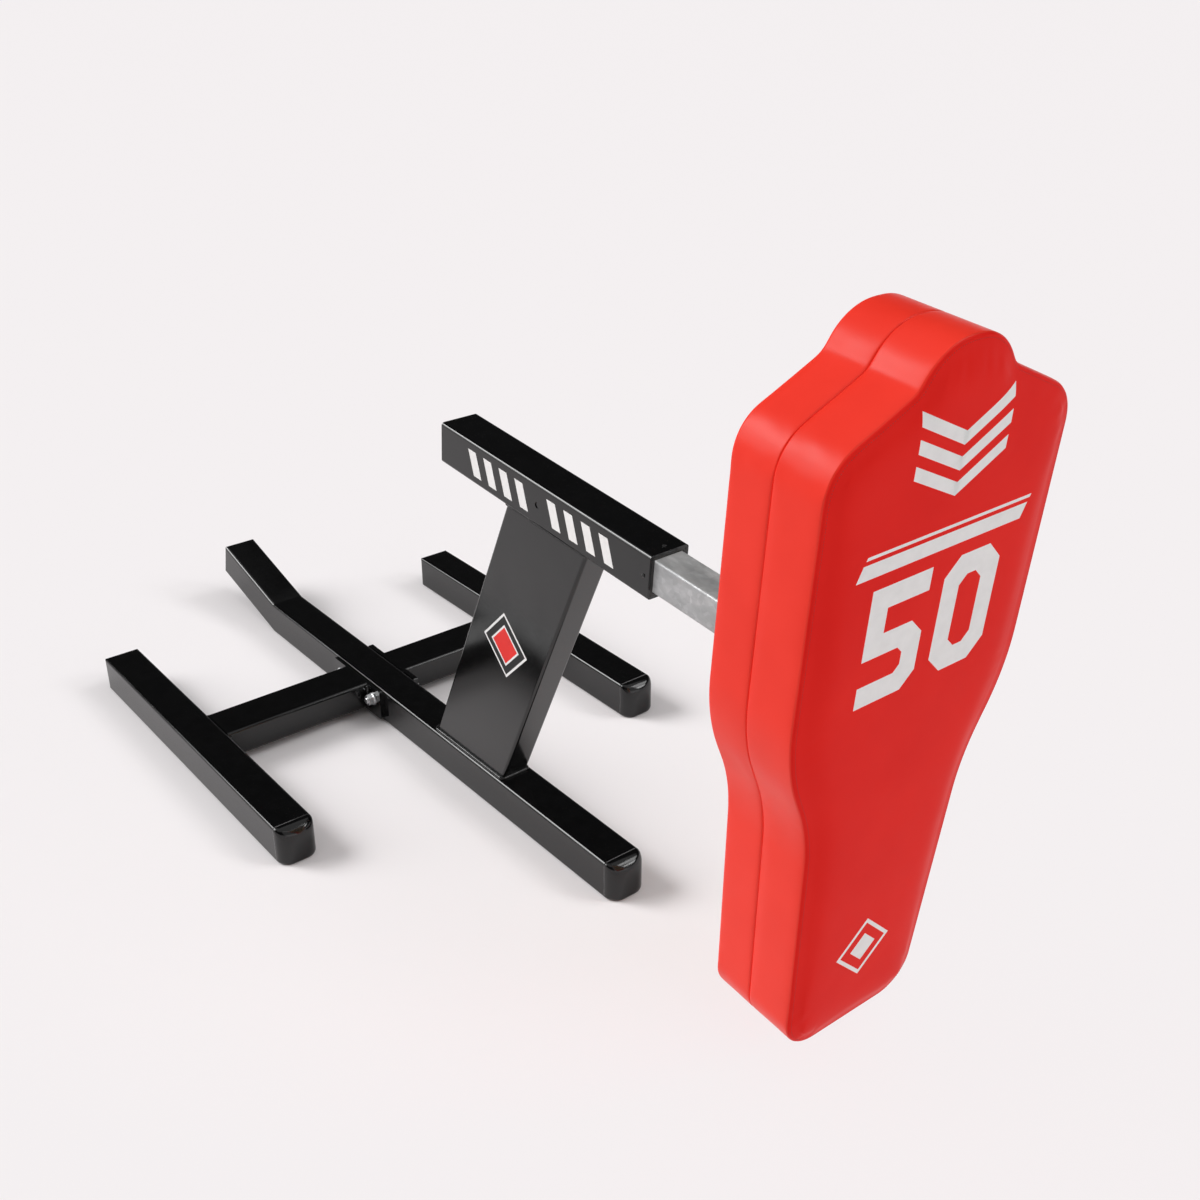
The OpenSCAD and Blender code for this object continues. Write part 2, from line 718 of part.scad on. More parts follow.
// Pad outline: the right half as corners [x, z, radius, steps] from the foot to the head, with
// the first corner of the left half at each end
pad_corners = [[-foot_w / 2, -pad_down, 0, 0],
    [foot_w / 2, -pad_down, foot_r, 7],
    [leg_w / 2, -leg_turn, waist_r, 4],
    [chest_w / 2, chest_turn, waist_r, 4],
    [shoulder_w / 2, shoulder_h, shoulder_r, 7],
    [neck_w / 2, neck_h, neck_r, 4],
    [head_w / 2, pad_up, head_r, 7],
    [-head_w / 2, pad_up, 0, 0]];

function unit(v) = v / norm(v);
function flat(p) = [p[0], p[1]];

// Points of the round at corner k: the tangent length is held under half of the shorter side
function rounded(k) =
    let (p = flat(pad_corners[k]), before = flat(pad_corners[k - 1]) - p,
        after = flat(pad_corners[k + 1]) - p, u = unit(before), v = unit(after),
        half = acos(u * v) / 2, steps = pad_corners[k][3],
        cut = min(pad_corners[k][2] / tan(half), 0.49 * min(norm(before), norm(after))),
        r = cut * tan(half), centre = p + unit(u + v) * r / sin(half),
        from = p + u * cut - centre, turn = 180 - 2 * half,
        way = u[0] * v[1] - u[1] * v[0] < 0 ? 1 : -1)
    [for (i = [0:steps]) let (a = way * turn * i / steps)
        centre + [from[0] * cos(a) - from[1] * sin(a), from[0] * sin(a) + from[1] * cos(a)]];

pad_right = [for (k = [1:6]) each rounded(k)];
pad_ring = concat(pad_right, [for (i = [len(pad_right) - 1:-1:0])
    [-pad_right[i][0], pad_right[i][1]]]);
pad_count = len(pad_ring);

// The pad's outline drawn in by d, each point along its own normal
function pad_outline(d) = [for (i = [0:pad_count - 1])
    let (p = pad_ring[i], t = unit(pad_ring[(i + 1) % pad_count]
        - pad_ring[(i + pad_count - 1) % pad_count]))
    p + d * [-t[1], t[0]]];

// The outline drawn towards the pad's spine by a share s
spine_low = 150 - pad_down;
spine_high = pad_up - head_r;
function toward_spine(ring, s) = [for (p = ring)
    [p[0] * (1 - s), p[1] + s * (min(max(p[1], spine_low), spine_high) - p[1])]];
function lift_ring(ring, y) = [for (p = ring) [p[0], y, p[1]]];

// Side wall of one half from its seam at y = seam_y, rolled into its face t away; way is the
// direction of the face along Y
function half_rings(t, way) = [
    for (step = [[0, seam_depth], [seam_half, seam_depth / 4], [2.5 * seam_half, 0],
            [t * 0.3, -side_swell], [t * 0.6, -side_swell], [t - 1.6 * edge_r, 0],
            [t - 0.6 * edge_r, edge_r * 0.16], [t - 0.18 * edge_r, edge_r * 0.5],
            [t, edge_r]])
        lift_ring(pad_outline(step[1]), seam_y + way * step[0])];

// The front half ends in the crown of the striking face
front_rings = concat(half_rings(pad_front_t, -1),
    [for (s = [[0.16, 0.55], [0.4, 0.9], [0.7, 1]])
        lift_ring(toward_spine(pad_outline(edge_r), s[0]), pad_front_y - crown * s[1])]);

// The rear half ends in the recess for the board
recess = pad_outline(board_inset - touch);
rear_rings = concat(half_rings(rear_t, 1),
    [lift_ring(recess, -arm_reach), lift_ring(recess, -arm_reach - board_pocket)]);

module pad_front_cushion() color(pad_red) along_receiver() tube_mesh(front_rings);
module pad_rear_cushion() color(pad_red) along_receiver()
    tube_mesh([for (i = [len(rear_rings) - 1:-1:0]) rear_rings[i]]);

centre_skid();
centre_nose();
centre_tail_cap();
centre_nose_cap();
left_skid();
left_tail_cap();
left_nose_cap();
right_skid();
right_tail_cap();
right_nose_cap();
left_cross_tube();
right_cross_tube();
left_flange();
right_flange();
cross_tube_welds();
bolt_sleeves();
flange_bolts();
flange_washers();
flange_nuts();
upright();
foot_weld();
head_weld();
receiver();
receiver_end_plate();
mouth_liner_top();
mouth_liner_bottom();
mouth_liner_left();
mouth_liner_right();
mouth_liner_screws();
stop_pin();
spring_guide();
spring();
arm();
arm_end_plate();
arm_liner_top();
arm_liner_bottom();
arm_liner_left();
arm_liner_right();
arm_liner_screws();
pad_plate();
pad_gussets();
pad_bolts();
pad_washers();
pad_t_nuts();
pad_board();
pad_rear_cushion();
pad_front_cushion();
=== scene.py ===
"""Looks for a one-person blocking sled: gloss black steel, a galvanised arm and a red pad."""
import json
import math

import bmesh
import bpy
import numpy as np
from mathutils import Matrix, Vector
from mathutils.bvhtree import BVHTree

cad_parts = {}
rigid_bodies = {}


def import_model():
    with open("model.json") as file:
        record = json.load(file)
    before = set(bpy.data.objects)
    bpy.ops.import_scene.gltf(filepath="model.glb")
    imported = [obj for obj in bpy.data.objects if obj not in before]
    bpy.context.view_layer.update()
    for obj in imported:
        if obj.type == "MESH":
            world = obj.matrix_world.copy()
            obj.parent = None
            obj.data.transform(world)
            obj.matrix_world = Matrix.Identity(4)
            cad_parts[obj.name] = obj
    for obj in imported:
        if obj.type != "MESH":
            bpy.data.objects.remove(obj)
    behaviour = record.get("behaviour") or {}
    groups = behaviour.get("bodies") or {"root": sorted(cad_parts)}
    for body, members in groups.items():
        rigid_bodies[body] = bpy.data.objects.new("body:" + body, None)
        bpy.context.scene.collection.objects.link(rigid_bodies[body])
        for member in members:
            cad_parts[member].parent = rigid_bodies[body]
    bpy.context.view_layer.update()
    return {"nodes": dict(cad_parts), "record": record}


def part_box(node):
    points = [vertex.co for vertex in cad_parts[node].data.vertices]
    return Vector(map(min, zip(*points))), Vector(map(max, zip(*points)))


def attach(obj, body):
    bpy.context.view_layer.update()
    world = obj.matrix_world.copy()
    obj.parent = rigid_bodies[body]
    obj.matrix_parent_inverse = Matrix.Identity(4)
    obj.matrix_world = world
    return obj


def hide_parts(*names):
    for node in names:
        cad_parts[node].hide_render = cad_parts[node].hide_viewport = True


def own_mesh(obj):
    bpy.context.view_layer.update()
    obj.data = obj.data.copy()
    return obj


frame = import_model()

# Sizes shared with the CAD source, in metres
MOUTH = Vector((0, -1.2548, 0.8943))
PITCH = math.radians(4.7)
ARM_FRAME = Matrix.Translation(MOUTH) @ Matrix.Rotation(PITCH, 4, "X")
ARM_REACH = 0.421
PAD_T = 0.2064
PAD_FRONT_T = 0.109
BOARD_T = 0.019
BOARD_INSET = 0.034
EDGE_R = 0.008
SEAM_DEPTH = 0.003
CROWN = 0.007
CROWN_WIDTH = 0.09
PRINT_LIFT = 0.0004
TUBE = 0.1016
POST_W = 0.0762
POST_DEPTH = 0.274
POST_LEAN = math.radians(24.8)
POST_BACK = 0.5362
HEAD_Y = 0.3591
BOLT_D = 0.01905
BOLT_Y = 0.0889
BOLT_Z = 0.0635
FLANGE_FACE = 0.0635
WASHER_T = 0.003
NUT_H = 0.0163
HEAD_H = 0.012
BOLT_END = 0.004
PLATE_T = 0.0095
PAD_BOLT_D = 0.0095
PAD_BOLT_X = 0.099
PAD_BOLT_Z = 0.1244
PAD_WASHER_T = 0.002

PAD_FRONT_Y = -ARM_REACH - PAD_T
SEAM_Y = PAD_FRONT_Y + PAD_FRONT_T

# Trailing caps, rounded over at the sides, the top and the foot
CAP_PLAN_R = 0.033
CAP_TOP_R = 0.029
CAP_FOOT_R = 0.009
CAP_DOME_R = 0.034
TUBE_CORNER_R = 0.008
END_TOP_R = 0.030
END_FOOT_R = 0.014
CAP_EASE = 1.3
CAP_FLAT_LEAST = 0.02
CAP_RINGS = 18

# Spring, from the arm's inner end to the guide's disc
WIRE_D = 0.009
SPRING_D = 0.066
SPRING_TURNS = 11
SPRING_FROM = 0.4703
SPRING_TO = 0.74035
CLOSED_PITCH = 0.0098

# Weld beads
BEAD_R = 0.0052
BEAD_OUT = 0.0022
BEAD_LIFT = 0.0022
BEAD_STEP = 0.0016
BEAD_PITCH = 0.0058
BEAD_SIDES = 10
BEAD_CORNER_R = 0.009
BEAD_TURN_UP = 0.005
BEAD_TURN_IN = 0.007
BEAD_THIN = 0.86
BEAD_RIPPLE = 0.16
BEAD_TIP = 0.4

# Bolts and nuts
HEX_FLATS = 1.5
HEX_POINTS = 72
WASHER_FACE = 0.95
PAD_HEAD_H = 0.63
THREAD_POINTS = 40
THREAD_ROOT = 0.93
THREAD_TIP = 0.84
FLANGE_THREAD = 0.0025
PAD_THREAD = 0.0016
NUT_CLEAR = 0.0001

# The pad's right half: corners as (x, z, radius), from the foot to the head
PAD_CORNERS = [
    (0.1695, -0.718, 0.082),
    (0.205, -0.162, 0.41),
    (0.2835, 0.0155, 0.41),
    (0.291, 0.559, 0.088),
    (0.113, 0.642, 0.035),
    (0.0745, 0.711, 0.112),
]


# Node helpers

GRAIN_SCALE = 620.0
GRAIN_DEPTH = 0.0004


def new_material(name):
    material = bpy.data.materials.new(name)
    material.use_nodes = True
    tree = material.node_tree
    shader = tree.nodes["Principled BSDF"]
    return material, tree, shader


def add_node(tree, kind, **values):
    node = tree.nodes.new(kind)
    for key, value in values.items():
        if key in node.inputs:
            node.inputs[key].default_value = value
        else:
            setattr(node, key, value)
    return node


def position(tree):
    return add_node(tree, "ShaderNodeTexCoord").outputs["Object"]


def stretched(tree, source, scale):
    mapping = add_node(tree, "ShaderNodeMapping")
    mapping.inputs["Scale"].default_value = scale
    tree.links.new(source, mapping.inputs["Vector"])
    return mapping.outputs["Vector"]


def noise(tree, source, scale, detail=4.0, roughness=0.5):
    node = add_node(tree, "ShaderNodeTexNoise", Scale=scale, Detail=detail, Roughness=roughness)
    tree.links.new(source, node.inputs["Vector"])
    return node.outputs["Fac"]


def ramp(tree, source, stops):
    """Colours or greys at places from 0 to 1 along the source's value."""
    node = add_node(tree, "ShaderNodeValToRGB")
    elements = node.color_ramp.elements
    while len(elements) < len(stops):
        elements.new(0.5)
    for element, (place, colour) in zip(elements, stops):
        element.position = place
        element.color = (*colour, 1) if isinstance(colour, tuple) else (colour, colour, colour, 1)
    tree.links.new(source, node.inputs["Fac"])
    return node.outputs["Color"]


def clouded(tree, place, scale, low, high, detail=4.0):
    """A soft noise that runs from low to high."""
    return ramp(tree, noise(tree, place, scale, detail), [(0.3, low), (0.7, high)])


def add_bump(tree, shader, source, strength, distance):
    node = add_node(tree, "ShaderNodeBump", Strength=strength, Distance=distance)
    tree.links.new(source, node.inputs["Height"])
    tree.links.new(node.outputs["Normal"], shader.inputs["Normal"])


def add_leather_grain(tree, shader, place, strength):
    grain = add_node(tree, "ShaderNodeTexVoronoi", Scale=GRAIN_SCALE)
    tree.links.new(place, grain.inputs["Vector"])
    add_bump(tree, shader, grain.outputs["Distance"], strength, GRAIN_DEPTH)


# Materials

def make_black_steel():
    material, tree, shader = new_material("black_steel")
    place = position(tree)
    tree.links.new(clouded(tree, place, 9.0, 0.10, 0.17), shader.inputs["Roughness"])
    tree.links.new(ramp(tree, noise(tree, place, 30.0), [(0.35, (0.0012, 0.0012, 0.0013)),
                   (0.7, (0.0022, 0.0022, 0.0024))]), shader.inputs["Base Color"])
    shader.inputs["IOR"].default_value = 1.5
    add_bump(tree, shader, noise(tree, place, 420.0, 2.0), 0.06, 0.0004)
    return material


def make_galvanised():
    material, tree, shader = new_material("galvanised_steel")
    place = position(tree)
    spangle = add_node(tree, "ShaderNodeTexVoronoi", Scale=70.0)
    tree.links.new(place, spangle.inputs["Vector"])
    cells = add_node(tree, "ShaderNodeSeparateColor")
    tree.links.new(spangle.outputs["Color"], cells.inputs["Color"])
    cloud = noise(tree, stretched(tree, place, (1.0, 0.4, 1.0)), 16.0, 6.0, 0.6)
    mix = add_node(tree, "ShaderNodeMix", Factor=0.9)
    tree.links.new(cells.outputs["Red"], mix.inputs[2])
    tree.links.new(cloud, mix.inputs[3])
    tree.links.new(ramp(tree, mix.outputs[0], [(0.35, (0.30, 0.305, 0.31)),
                   (0.5, (0.39, 0.395, 0.40)), (0.65, (0.52, 0.525, 0.53))]),
                   shader.inputs["Base Color"])
    tree.links.new(ramp(tree, cells.outputs["Green"], [(0.0, 0.34), (1.0, 0.52)]),
                   shader.inputs["Roughness"])
    shader.inputs["Metallic"].default_value = 0.35
    add_bump(tree, shader, cloud, 0.15, 0.001)
    return material


def make_hardware():
    material, tree, shader = new_material("bright_hardware")
    place = position(tree)
    tree.links.new(clouded(tree, place, 160.0, (0.66, 0.67, 0.69), (0.80, 0.80, 0.80)),
                   shader.inputs["Base Color"])
    tree.links.new(clouded(tree, place, 220.0, 0.26, 0.4), shader.inputs["Roughness"])
    shader.inputs["Metallic"].default_value = 0.9
    return material


def make_spring_steel():
    material, tree, shader = new_material("spring_steel")
    tree.links.new(clouded(tree, position(tree), 120.0, (0.16, 0.165, 0.18), (0.3, 0.31, 0.33)),
                   shader.inputs["Base Color"])
    shader.inputs["Metallic"].default_value = 0.9
    shader.inputs["Roughness"].default_value = 0.4
    return material


def make_liner():
    material, tree, shader = new_material("black_liner")
    place = position(tree)
    tree.links.new(clouded(tree, place, 60.0, (0.012, 0.012, 0.012), (0.02, 0.02, 0.02)),
                   shader.inputs["Base Color"])
    shader.inputs["Roughness"].default_value = 0.5
    add_bump(tree, shader, noise(tree, place, 700.0), 0.1, 0.0003)
    return material


def make_plywood():
    material, tree, shader = new_material("plywood")
    place = stretched(tree, position(tree), (14.0, 60.0, 1.4))
    grain = add_node(tree, "ShaderNodeTexNoise", Scale=3.0, Detail=8.0, Distortion=1.2)
    tree.links.new(place, grain.inputs["Vector"])
    tree.links.new(ramp(tree, grain.outputs["Fac"], [(0.25, (0.36, 0.22, 0.11)),
                   (0.5, (0.60, 0.42, 0.25)), (0.75, (0.74, 0.57, 0.38))]),
                   shader.inputs["Base Color"])
    shader.inputs["Roughness"].default_value = 0.62
    add_bump(tree, shader, grain.outputs["Fac"], 0.2, 0.0006)
    return material


def make_vinyl(name, low, high, gloss):
    material, tree, shader = new_material(name)
    place = position(tree)
    tree.links.new(clouded(tree, place, 5.0, low, high, detail=3.0), shader.inputs["Base Color"])
    tree.links.new(clouded(tree, place, 14.0, 0.30, 0.38), shader.inputs["Roughness"])
    shader.inputs["Specular IOR Level"].default_value = gloss
    add_leather_grain(tree, shader, place, 0.10)
    return material


def make_print(name, low, high):
    material, tree, shader = new_material(name)
    place = position(tree)
    tree.links.new(clouded(tree, place, 40.0, low, high), shader.inputs["Base Color"])
    shader.inputs["Roughness"].default_value = 0.45
    add_leather_grain(tree, shader, place, 0.08)
    return material


MATERIALS = {
    "black_steel": make_black_steel(),
    "galvanised_steel": make_galvanised(),
    "bright_hardware": make_hardware(),
    "spring_steel": make_spring_steel(),
    "black_liner": make_liner(),
    "plywood": make_plywood(),
    # The red vinyl of the sides and back: its own colour, made a little pinker as painted sheen.
    "pad_cover": make_vinyl("pad_cover", (0.79, 0.033, 0.018), (0.85, 0.041, 0.024), 0.14),
}
# The same vinyl on the face, made darker and deeper red: painted shade, as the face is turned from
# the lamps.
SHADED_PAD_FACE = make_vinyl("pad_face_painted_shade", (0.77, 0.016, 0.012), (0.82, 0.021, 0.015), 0.03)
THREAD = make_print("thread", (0.30, 0.010, 0.008), (0.36, 0.016, 0.012))
WHITE_PRINT = make_print("white_print", (0.80, 0.79, 0.78), (0.86, 0.85, 0.84))
RED_PRINT = make_print("red_print", (0.72, 0.015, 0.012), (0.80, 0.022, 0.016))
BLACK_PRINT = make_print("black_print", (0.004, 0.004, 0.004), (0.007, 0.007, 0.007))


def dress_cad_nodes():
    slots = {row["node"]: row["material_slot"] for row in frame["record"]["subparts"]}
    for name, obj in frame["nodes"].items():
        for slot in obj.material_slots:
            slot.material = MATERIALS[slots[name]]


dress_cad_nodes()


# Mesh helpers

def join_rings(mesh, rings, closed=False):
    """Skins rings of equal counts in turn, and the last to the first if closed."""
    following = rings[1:] + rings[:1] if closed else rings[1:]
    for ring, other in zip(rings, following):
        for j in range(len(ring)):
            k = (j + 1) % len(ring)
            mesh.faces.new((ring[j], ring[k], other[k], other[j]))


def finish_object(name, mesh, material):
    """Turns a bmesh into an object of the scene."""
    bmesh.ops.recalc_face_normals(mesh, faces=mesh.faces)
    data = bpy.data.meshes.new(name)
    mesh.to_mesh(data)
    mesh.free()
    data.materials.append(material)
    obj = bpy.data.objects.new(name, data)
    bpy.context.scene.collection.objects.link(obj)
    return obj


def finish_steel(name, mesh, body, slot, *nodes):
    obj = finish_object(name, mesh, MATERIALS[slot])
    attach(obj, body)
    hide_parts(*nodes)
    return obj


def finish_print(name, mesh, body, material):
    obj = finish_object(name, mesh, material)
    obj.data.shade_smooth()
    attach(obj, body)


# Padded cover: one closed skin through rings, swelled as cloth between its sewn seams

COLUMNS = 48
ROWS = 104
CLOTH_FRAMES = 20
SIDE_SWELL = 0.0014
FACE_SWELL = 0.003
FACE_SEAM_Y = 0.0055
STITCH_INSET = 0.0085
STITCH_STEP = 0.0052
STITCH_LEN = 0.0038
STITCH_R = 0.0006
RECESS_CLEAR = 0.0004
SEAM_FLAT = 0.006
FACE_LIP = 0.012
FACE_START = 0.0016
BEFORE_SHARE = 0.84
AFTER_SHARE = 0.49
CLOTH_PRESSURE = 4.0
CLOTH_QUALITY = 5
CLOTH_MASS = 0.3


def unit(v):
    return v / np.linalg.norm(v)


def corner_arc(before, corner, after, radius, spacing=0.004):
    """Points of a rounded corner, whose tangents stay within the sides that it joins."""
    to_before = before - corner
    to_after = after - corner
    u, v = unit(to_before), unit(to_after)
    half = math.acos(np.clip(u @ v, -1, 1)) / 2
    cut = min(radius / math.tan(half), BEFORE_SHARE * np.linalg.norm(to_before),
              AFTER_SHARE * np.linalg.norm(to_after))
    radius = cut * math.tan(half)
    centre = corner + unit(u + v) * radius / math.sin(half)
    start = corner + u * cut - centre
    turn = math.pi - 2 * half
    way = 1 if u[0] * v[1] - u[1] * v[0] < 0 else -1
    steps = max(6, int(radius * turn / spacing))
    angles = way * turn * np.linspace(0, 1, steps + 1)
    return np.stack([centre[0] + start[0] * np.cos(angles) - start[1] * np.sin(angles),
                     centre[1] + start[0] * np.sin(angles) + start[1] * np.cos(angles)], axis=1)


def resampled(points, count):
    """The same line through count + 1 points at equal distances."""
    steps = np.linalg.norm(np.diff(points, axis=0), axis=1)
    along = np.concatenate([[0], np.cumsum(steps)])
    wanted = np.linspace(0, along[-1], count + 1)
    return np.stack([np.interp(wanted, along, points[:, k]) for k in range(2)], axis=1)


def pad_ring():
    """The pad's outline as a closed ring of (x, z), from the foot's middle up the right side."""
    corners = [np.array(c[:2]) for c in PAD_CORNERS]
    mirror = np.array([-1, 1])
    around = [corners[0] * mirror] + corners + [corners[-1] * mirror]
    arcs = [corner_arc(around[k], around[k + 1], around[k + 2], PAD_CORNERS[k][2])
            for k in range(len(corners))]
    foot_mid = len(arcs[0]) // 2
    shoulder_mid = len(arcs[3]) // 2
    foot = np.concatenate([[[0, corners[0][1]]], arcs[0][:foot_mid + 1]])
    side = np.concatenate([arcs[0][foot_mid:], arcs[1], arcs[2], arcs[3][:shoulder_mid + 1]])
    head = np.concatenate([arcs[3][shoulder_mid:], arcs[4], arcs[5], [[0, corners[-1][1]]]])
    right = np.concatenate([resampled(foot, COLUMNS // 2)[:-1], resampled(side, ROWS)[:-1],
                            resampled(head, COLUMNS // 2)])
    return np.concatenate([right, right[-2:0:-1] * mirror])


def drawn_in(ring, distance):
    """The ring moved inwards by a distance."""
    tangent = np.roll(ring, -1, axis=0) - np.roll(ring, 1, axis=0)
    tangent /= np.linalg.norm(tangent, axis=1)[:, None]
    return ring + distance * np.stack([-tangent[:, 1], tangent[:, 0]], axis=1)


def pad_profile():
    """Rings of the cover from the board's recess to the face: (inset, y, held, most swell)."""
    back = -ARM_REACH
    recess = BOARD_INSET - RECESS_CLEAR
    rows = [(recess, back - BOARD_T, 1, 0), (recess, back - 0.008, 1, 0),
            (recess - 0.001, back - 0.001, 1, 0), (0.028, back, 0, 0.001), (0.018, back, 0, 0.002)]
    for angle in np.linspace(0, math.pi / 2, 6):
        inset = EDGE_R * (1 - math.sin(angle))
        rows.append((inset, back - EDGE_R * (1 - math.cos(angle)), 0, 0.002))
    for t in np.linspace(0, 1, 8)[1:]:
        rows.append((0, back - EDGE_R + t * (SEAM_Y + SEAM_FLAT - back + EDGE_R), 0, SIDE_SWELL))
    rows += [(0.0001, SEAM_Y + 0.0028, 0, 0.0006), (0.0005, SEAM_Y + 0.0011, 0, 0.0003),
             (SEAM_DEPTH, SEAM_Y, 1, 0), (0.0005, SEAM_Y - 0.0011, 0, 0.0003),
             (0.0001, SEAM_Y - 0.0028, 0, 0.0006)]
    edge = PAD_FRONT_Y + FACE_LIP
    for t in np.linspace(0, 1, 9):
        rows.append((0, SEAM_Y - SEAM_FLAT + t * (edge - SEAM_Y + SEAM_FLAT), 0, SIDE_SWELL))
    rows += [(0, PAD_FRONT_Y + 0.0082, 0, 0.0006), (0.0003, PAD_FRONT_Y + 0.0066, 0, 0.0003),
             (0.0020, PAD_FRONT_Y + FACE_SEAM_Y, 1, 0), (0.0014, PAD_FRONT_Y + 0.0044, 0, 0.0003),
             (0.0033, PAD_FRONT_Y + 0.0025, 0, 0.0005), (0.0070, PAD_FRONT_Y + 0.0009, 0, 0.0009),
             (0.013, PAD_FRONT_Y - 0.0003, 0, 0.0015), (0.024, PAD_FRONT_Y - 0.0017, 0, 0.0022)]
    return rows


def face_grid(ring):
    """Fills a ring of (x, z) with a grid of rows and columns that follow its four sides."""
    n = len(ring)
    foot = np.array([ring[(k - COLUMNS // 2) % n] for k in range(COLUMNS + 1)])
    right = np.array([ring[COLUMNS // 2 + k] for k in range(ROWS + 1)])
    head = np.array([ring[(COLUMNS // 2 + ROWS + COLUMNS - k) % n] for k in range(COLUMNS + 1)])
    left = np.array([ring[(n - COLUMNS // 2 - k) % n] for k in range(ROWS + 1)])
    u = np.linspace(0, 1, COLUMNS + 1)[None, :, None]
    v = np.linspace(0, 1, ROWS + 1)[:, None, None]
    flat = ((1 - u) * (1 - v) * foot[0] + u * (1 - v) * foot[-1]
            + (1 - u) * v * head[0] + u * v * head[-1])
    return ((1 - v) * foot[None] + v * head[None] + (1 - u) * left[:, None]
            + u * right[:, None] - flat)


def pad_cover_shape():
    """Points of the whole cover in the arm's frame, its faces, and each face's and point's row."""
    outline = pad_ring()
    n = len(outline)
    profile = pad_profile()
    points, held, swell = [], [], []
    for inset, y, hold, most in profile:
        ring = drawn_in(outline, inset)
        points += [(x, y, z) for x, z in ring]
        held += [hold] * n
        swell += [most] * n
    faces, rows = [], []
    for i in range(len(profile) - 1):
        for j in range(n):
            k = (j + 1) % n
            faces.append((i * n + j, i * n + k, (i + 1) * n + k, (i + 1) * n + j))
            rows.append(i)
    last = (len(profile) - 1) * n
    grid = face_grid(drawn_in(outline, profile[-1][0]))
    index = np.zeros((ROWS + 1, COLUMNS + 1), int)
    for r in range(ROWS + 1):
        index[r, COLUMNS] = last + COLUMNS // 2 + r
        index[r, 0] = last + (n - COLUMNS // 2 - r) % n
    for c in range(COLUMNS + 1):
        index[0, c] = last + (c - COLUMNS // 2) % n
        index[ROWS, c] = last + (COLUMNS // 2 + ROWS + COLUMNS - c) % n
    for r in range(1, ROWS):
        for c in range(1, COLUMNS):
            index[r, c] = len(points)
            x, z = grid[r, c]
            depth = np.min(np.hypot(outline[:, 0] - x, outline[:, 1] - z))
            bulge = 1 - (1 - min(depth / CROWN_WIDTH, 1)) ** 2
            rise = FACE_START + (CROWN - FACE_START) * bulge
            points.append((x, PAD_FRONT_Y - rise, z))
            held.append(0)
            swell.append(FACE_SWELL)
    for r in range(ROWS):
        for c in range(COLUMNS):
            faces.append((index[r, c], index[r, c + 1], index[r + 1, c + 1], index[r + 1, c]))
            rows.append(len(profile))
    return np.array(points), faces, rows, np.array(held), np.array(swell)


def new_object(name, points, faces):
    mesh = bpy.data.meshes.new(name)
    mesh.from_pydata([tuple(map(float, p)) for p in points], [],
                     [tuple(map(int, f)) for f in faces])
    mesh.validate()
    mesh.update()
    obj = bpy.data.objects.new(name, mesh)
    bpy.context.scene.collection.objects.link(obj)
    return obj


def finished_mesh(obj):
    """A copy of the object's mesh with its modifiers applied."""
    depsgraph = bpy.context.evaluated_depsgraph_get()
    return bpy.data.meshes.new_from_object(obj.evaluated_get(depsgraph), depsgraph=depsgraph)


def swelled(points, faces, held, swell):
    """The cover's points after its foam has pushed it out between the seams."""
    pad = new_object("swelling_cover", points, faces)
    group = pad.vertex_groups.new(name="held")
    group.add([int(i) for i in np.nonzero(held)[0]], 1.0, "REPLACE")
    cloth = pad.modifiers.new("cloth", "CLOTH")
    cloth.settings.vertex_group_mass = "held"
    cloth.settings.use_pressure = True
    cloth.settings.uniform_pressure_force = CLOTH_PRESSURE
    cloth.settings.quality = CLOTH_QUALITY
    cloth.settings.mass = CLOTH_MASS
    cloth.settings.effector_weights.gravity = 0
    cloth.point_cache.frame_start = 1
    cloth.point_cache.frame_end = CLOTH_FRAMES
    for step in range(1, CLOTH_FRAMES + 1):
        bpy.context.scene.frame_set(step)
    mesh = finished_mesh(pad)
    moved = np.array([v.co for v in mesh.vertices]) - points
    bpy.context.scene.frame_set(1)
    bpy.data.objects.remove(pad)
    length = np.linalg.norm(moved, axis=1)
    most = np.maximum(swell, 1e-6)
    return points + moved * (most * np.tanh(length / most) / np.maximum(length, 1e-9))[:, None]


def make_cover():
    """The front and rear halves of the pad's cover, which meet in the seam half way."""
    points, faces, rows, held, swell = pad_cover_shape()
    points = swelled(points, faces, held, swell)
    placed = [ARM_FRAME @ Vector(p) for p in points]
    levels = [row[1] for row in pad_profile()]
    seam_row = levels.index(SEAM_Y)
    face_row = levels.index(PAD_FRONT_Y + FACE_SEAM_Y)
    halves = []
    for name, keep in (("pad_rear_cover", lambda row: row < seam_row),
                       ("pad_front_cover", lambda row: row >= seam_row)):
        chosen = [face for face, row in zip(faces, rows) if keep(row)]
        used = sorted({i for face in chosen for i in face})
        renumber = {old: new for new, old in enumerate(used)}
        half = new_object(name, [placed[i] for i in used],
                          [[renumber[i] for i in face] for face in chosen])
        smooth = half.modifiers.new("smooth", "SUBSURF")
        smooth.levels = smooth.render_levels = 1
        half.data.materials.append(MATERIALS["pad_cover"])
        half.data.materials.append(SHADED_PAD_FACE)
        # Face rows take the darker copy of the vinyl, which is painted shade.
        for polygon, row in zip(half.data.polygons, filter(keep, rows)):
            polygon.material_index = int(row >= face_row)
        half.data = finished_mesh(half)
        half.modifiers.clear()
        half.data.shade_smooth()
        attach(half, "arm")
        halves.append(half)
    rear, front = halves
    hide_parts("pad_rear_cushion")
    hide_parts("pad_front_cushion")
    return front


# Prints: plain marks that lie on the pad and the steel

PRINT_GRID = 0.012
ALMOST = 1e-5


